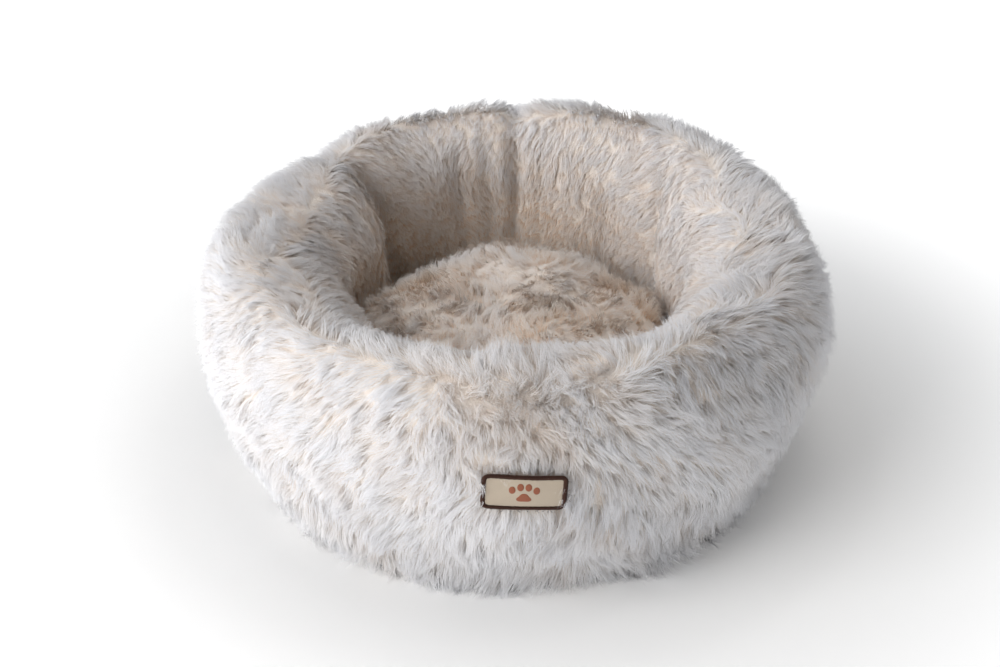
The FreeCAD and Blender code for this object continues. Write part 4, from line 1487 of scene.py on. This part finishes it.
@dataclass
class Studio:
    """Pale floor, soft light and the camera."""

    distance: float = 1.5
    elevation: float = math.radians(31.0)
    aim: tuple[float, float, float] = (-0.0098, 0.0, 0.0955)
    lens: float = 65.9
    sky_left: float = 0.55
    sky_right: float = 0.06
    floor_glow: tuple[float, float] = (0.17, 0.66)

    def camera(self) -> None:
        """Places the camera in front of and above the bed."""
        data = bpy.data.cameras.new("camera")
        data.lens = self.lens
        data.sensor_width = 36.0
        data.clip_end = 50.0
        eye = bpy.data.objects.new("camera", data)
        aim = Vector(self.aim)
        back = Vector((0.0, -math.cos(self.elevation), math.sin(self.elevation)))
        eye.location = aim + back * self.distance
        eye.rotation_euler = (-back).to_track_quat("-Z", "Y").to_euler()
        bpy.context.scene.collection.objects.link(eye)
        bpy.context.scene.camera = eye

    def lamp(self, name: str, place: tuple[float, float, float], size: float, power: float,
             colour: Colour) -> None:
        """Hangs a square soft lamp that looks at the bed.

        Args:
            name: Name of the lamp.
            place: Where it hangs.
            size: Length of its side.
            power: Its power in watts.
            colour: Its colour.
        """
        data = bpy.data.lights.new(name, "AREA")
        data.shape = "SQUARE"
        data.size = size
        data.energy = power
        data.color = colour
        lamp = bpy.data.objects.new(name, data)
        lamp.location = place
        lamp.rotation_euler = (Vector((0, 0, 0.1)) - Vector(place)).to_track_quat("-Z", "Y").to_euler()
        bpy.context.scene.collection.objects.link(lamp)

    def floor(self) -> None:
        """Lays the pale floor."""
        reach = 30.0
        corners = [(-reach, -reach, 0), (reach, -reach, 0), (reach, reach, 0), (-reach, reach, 0)]
        floor = mesh_object("studio_floor", np.array(corners), [(0, 1, 2, 3)], False)
        recipe = Recipe("studio_floor")
        shade = recipe.blend(recipe.grain(3.0), (0.94, 0.94, 0.935), (0.96, 0.96, 0.955))
        near, far = self.floor_glow
        away = recipe.node("ShaderNodeVectorMath", {"operation": "LENGTH"}, {0: recipe.place()}).out("Value")
        glow = recipe.blend((away * 3.2 - 0.95).held(), (near, near, near), (far, far, far))
        floor.data.materials.append(recipe.finish(shade, 0.9, Emission_Color=glow, Emission_Strength=1.0))

    def sky(self) -> None:
        """Soft light from all round, weaker on the right so that this side falls into shade."""
        world = bpy.data.worlds.new("studio")
        world.use_nodes = True
        nodes = Nodes(world.node_tree)
        ahead = nodes.node("ShaderNodeTexCoord").out("Generated")
        across = nodes.node("ShaderNodeSeparateXYZ", None, {0: ahead}).out("X")
        strength = nodes.node("ShaderNodeMapRange", {"interpolation_type": "SMOOTHSTEP"}, {
            "Value": across, "From Min": -0.95, "From Max": 0.15,
            "To Min": self.sky_left, "To Max": self.sky_right,
        }).out(0)
        light = nodes.node("ShaderNodeBackground", None, {"Color": (0.86, 0.92, 1.0), "Strength": strength})
        nodes.node("ShaderNodeOutputWorld", None, {"Surface": light.out(0)})
        bpy.context.scene.world = world

    def build(self) -> None:
        """Sets the studio up."""
        scene = bpy.context.scene
        scene.view_settings.view_transform = "Standard"
        self.camera()
        self.sky()
        self.floor()
        self.lamp("key", (-2.2, -1.6, 1.55), 2.3, 66.0, (1.0, 0.985, 0.975))
        self.lamp("top", (0.3, 0.25, 2.3), 1.5, 14.0, (1.0, 0.98, 0.96))


# ---------------------------------------------------------------------------------------- putting together


def dress(thing: bpy.types.Object, material: bpy.types.Material) -> None:
    """Gives a piece its material."""
    thing.data.materials.clear()
    thing.data.materials.append(material)


def wear(skin: bpy.types.Object, backing: bpy.types.Material, coat: list[bpy.types.Object],
         fur: bpy.types.Material, body: str) -> None:
    """Dresses a soft part's skin and coat and puts both on their body.

    Args:
        skin: The blown-up skin.
        backing: Its material.
        coat: The pieces of its fur.
        fur: Their material.
        body: The body that they move with.
    """
    for piece, material in [(skin, backing)] + [(piece, fur) for piece in coat]:
        dress(piece, material)
        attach(piece, body)
        LOG.info("%s: %d faces", piece.name, len(piece.data.polygons))


def main() -> None:
    """Builds the bed's looks round the frame."""
    logging.basicConfig(level=logging.INFO, format="%(message)s")
    Studio().build()
    fur = FurFinish("cream_fur").make()
    backing = BackingFinish("fur_backing").make()

    wall = Wall()
    label = Label()
    skin, surface = wall.build()
    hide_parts("wall_cover", "wall_filling", "back_seam_binding", "back_seam_thread")
    coat = Coat("wall_fur", 101, 11000, 50000, 10)
    wear(skin, backing, coat.grow(surface, WallComb(wall, label)), fur, "bed")

    cushion = Cushion()
    skin, surface = cushion.build()
    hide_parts("cushion_top_cover", "cushion_bottom_cover", "cushion_filling")
    coat = Coat("cushion_fur", 202, 900, 7000, 12, spread=1.6 * MM, width=0.44 * MM, curl=1.2 * MM)
    wear(skin, backing, coat.grow(surface, CushionComb(cushion)), fur, "cushion")

    label.build()
    CareTag().build()
    Underside(frame["nodes"]).build()
    LOG.info("patch, tag and underside dressed")


if __name__ == "__main__":
    main()
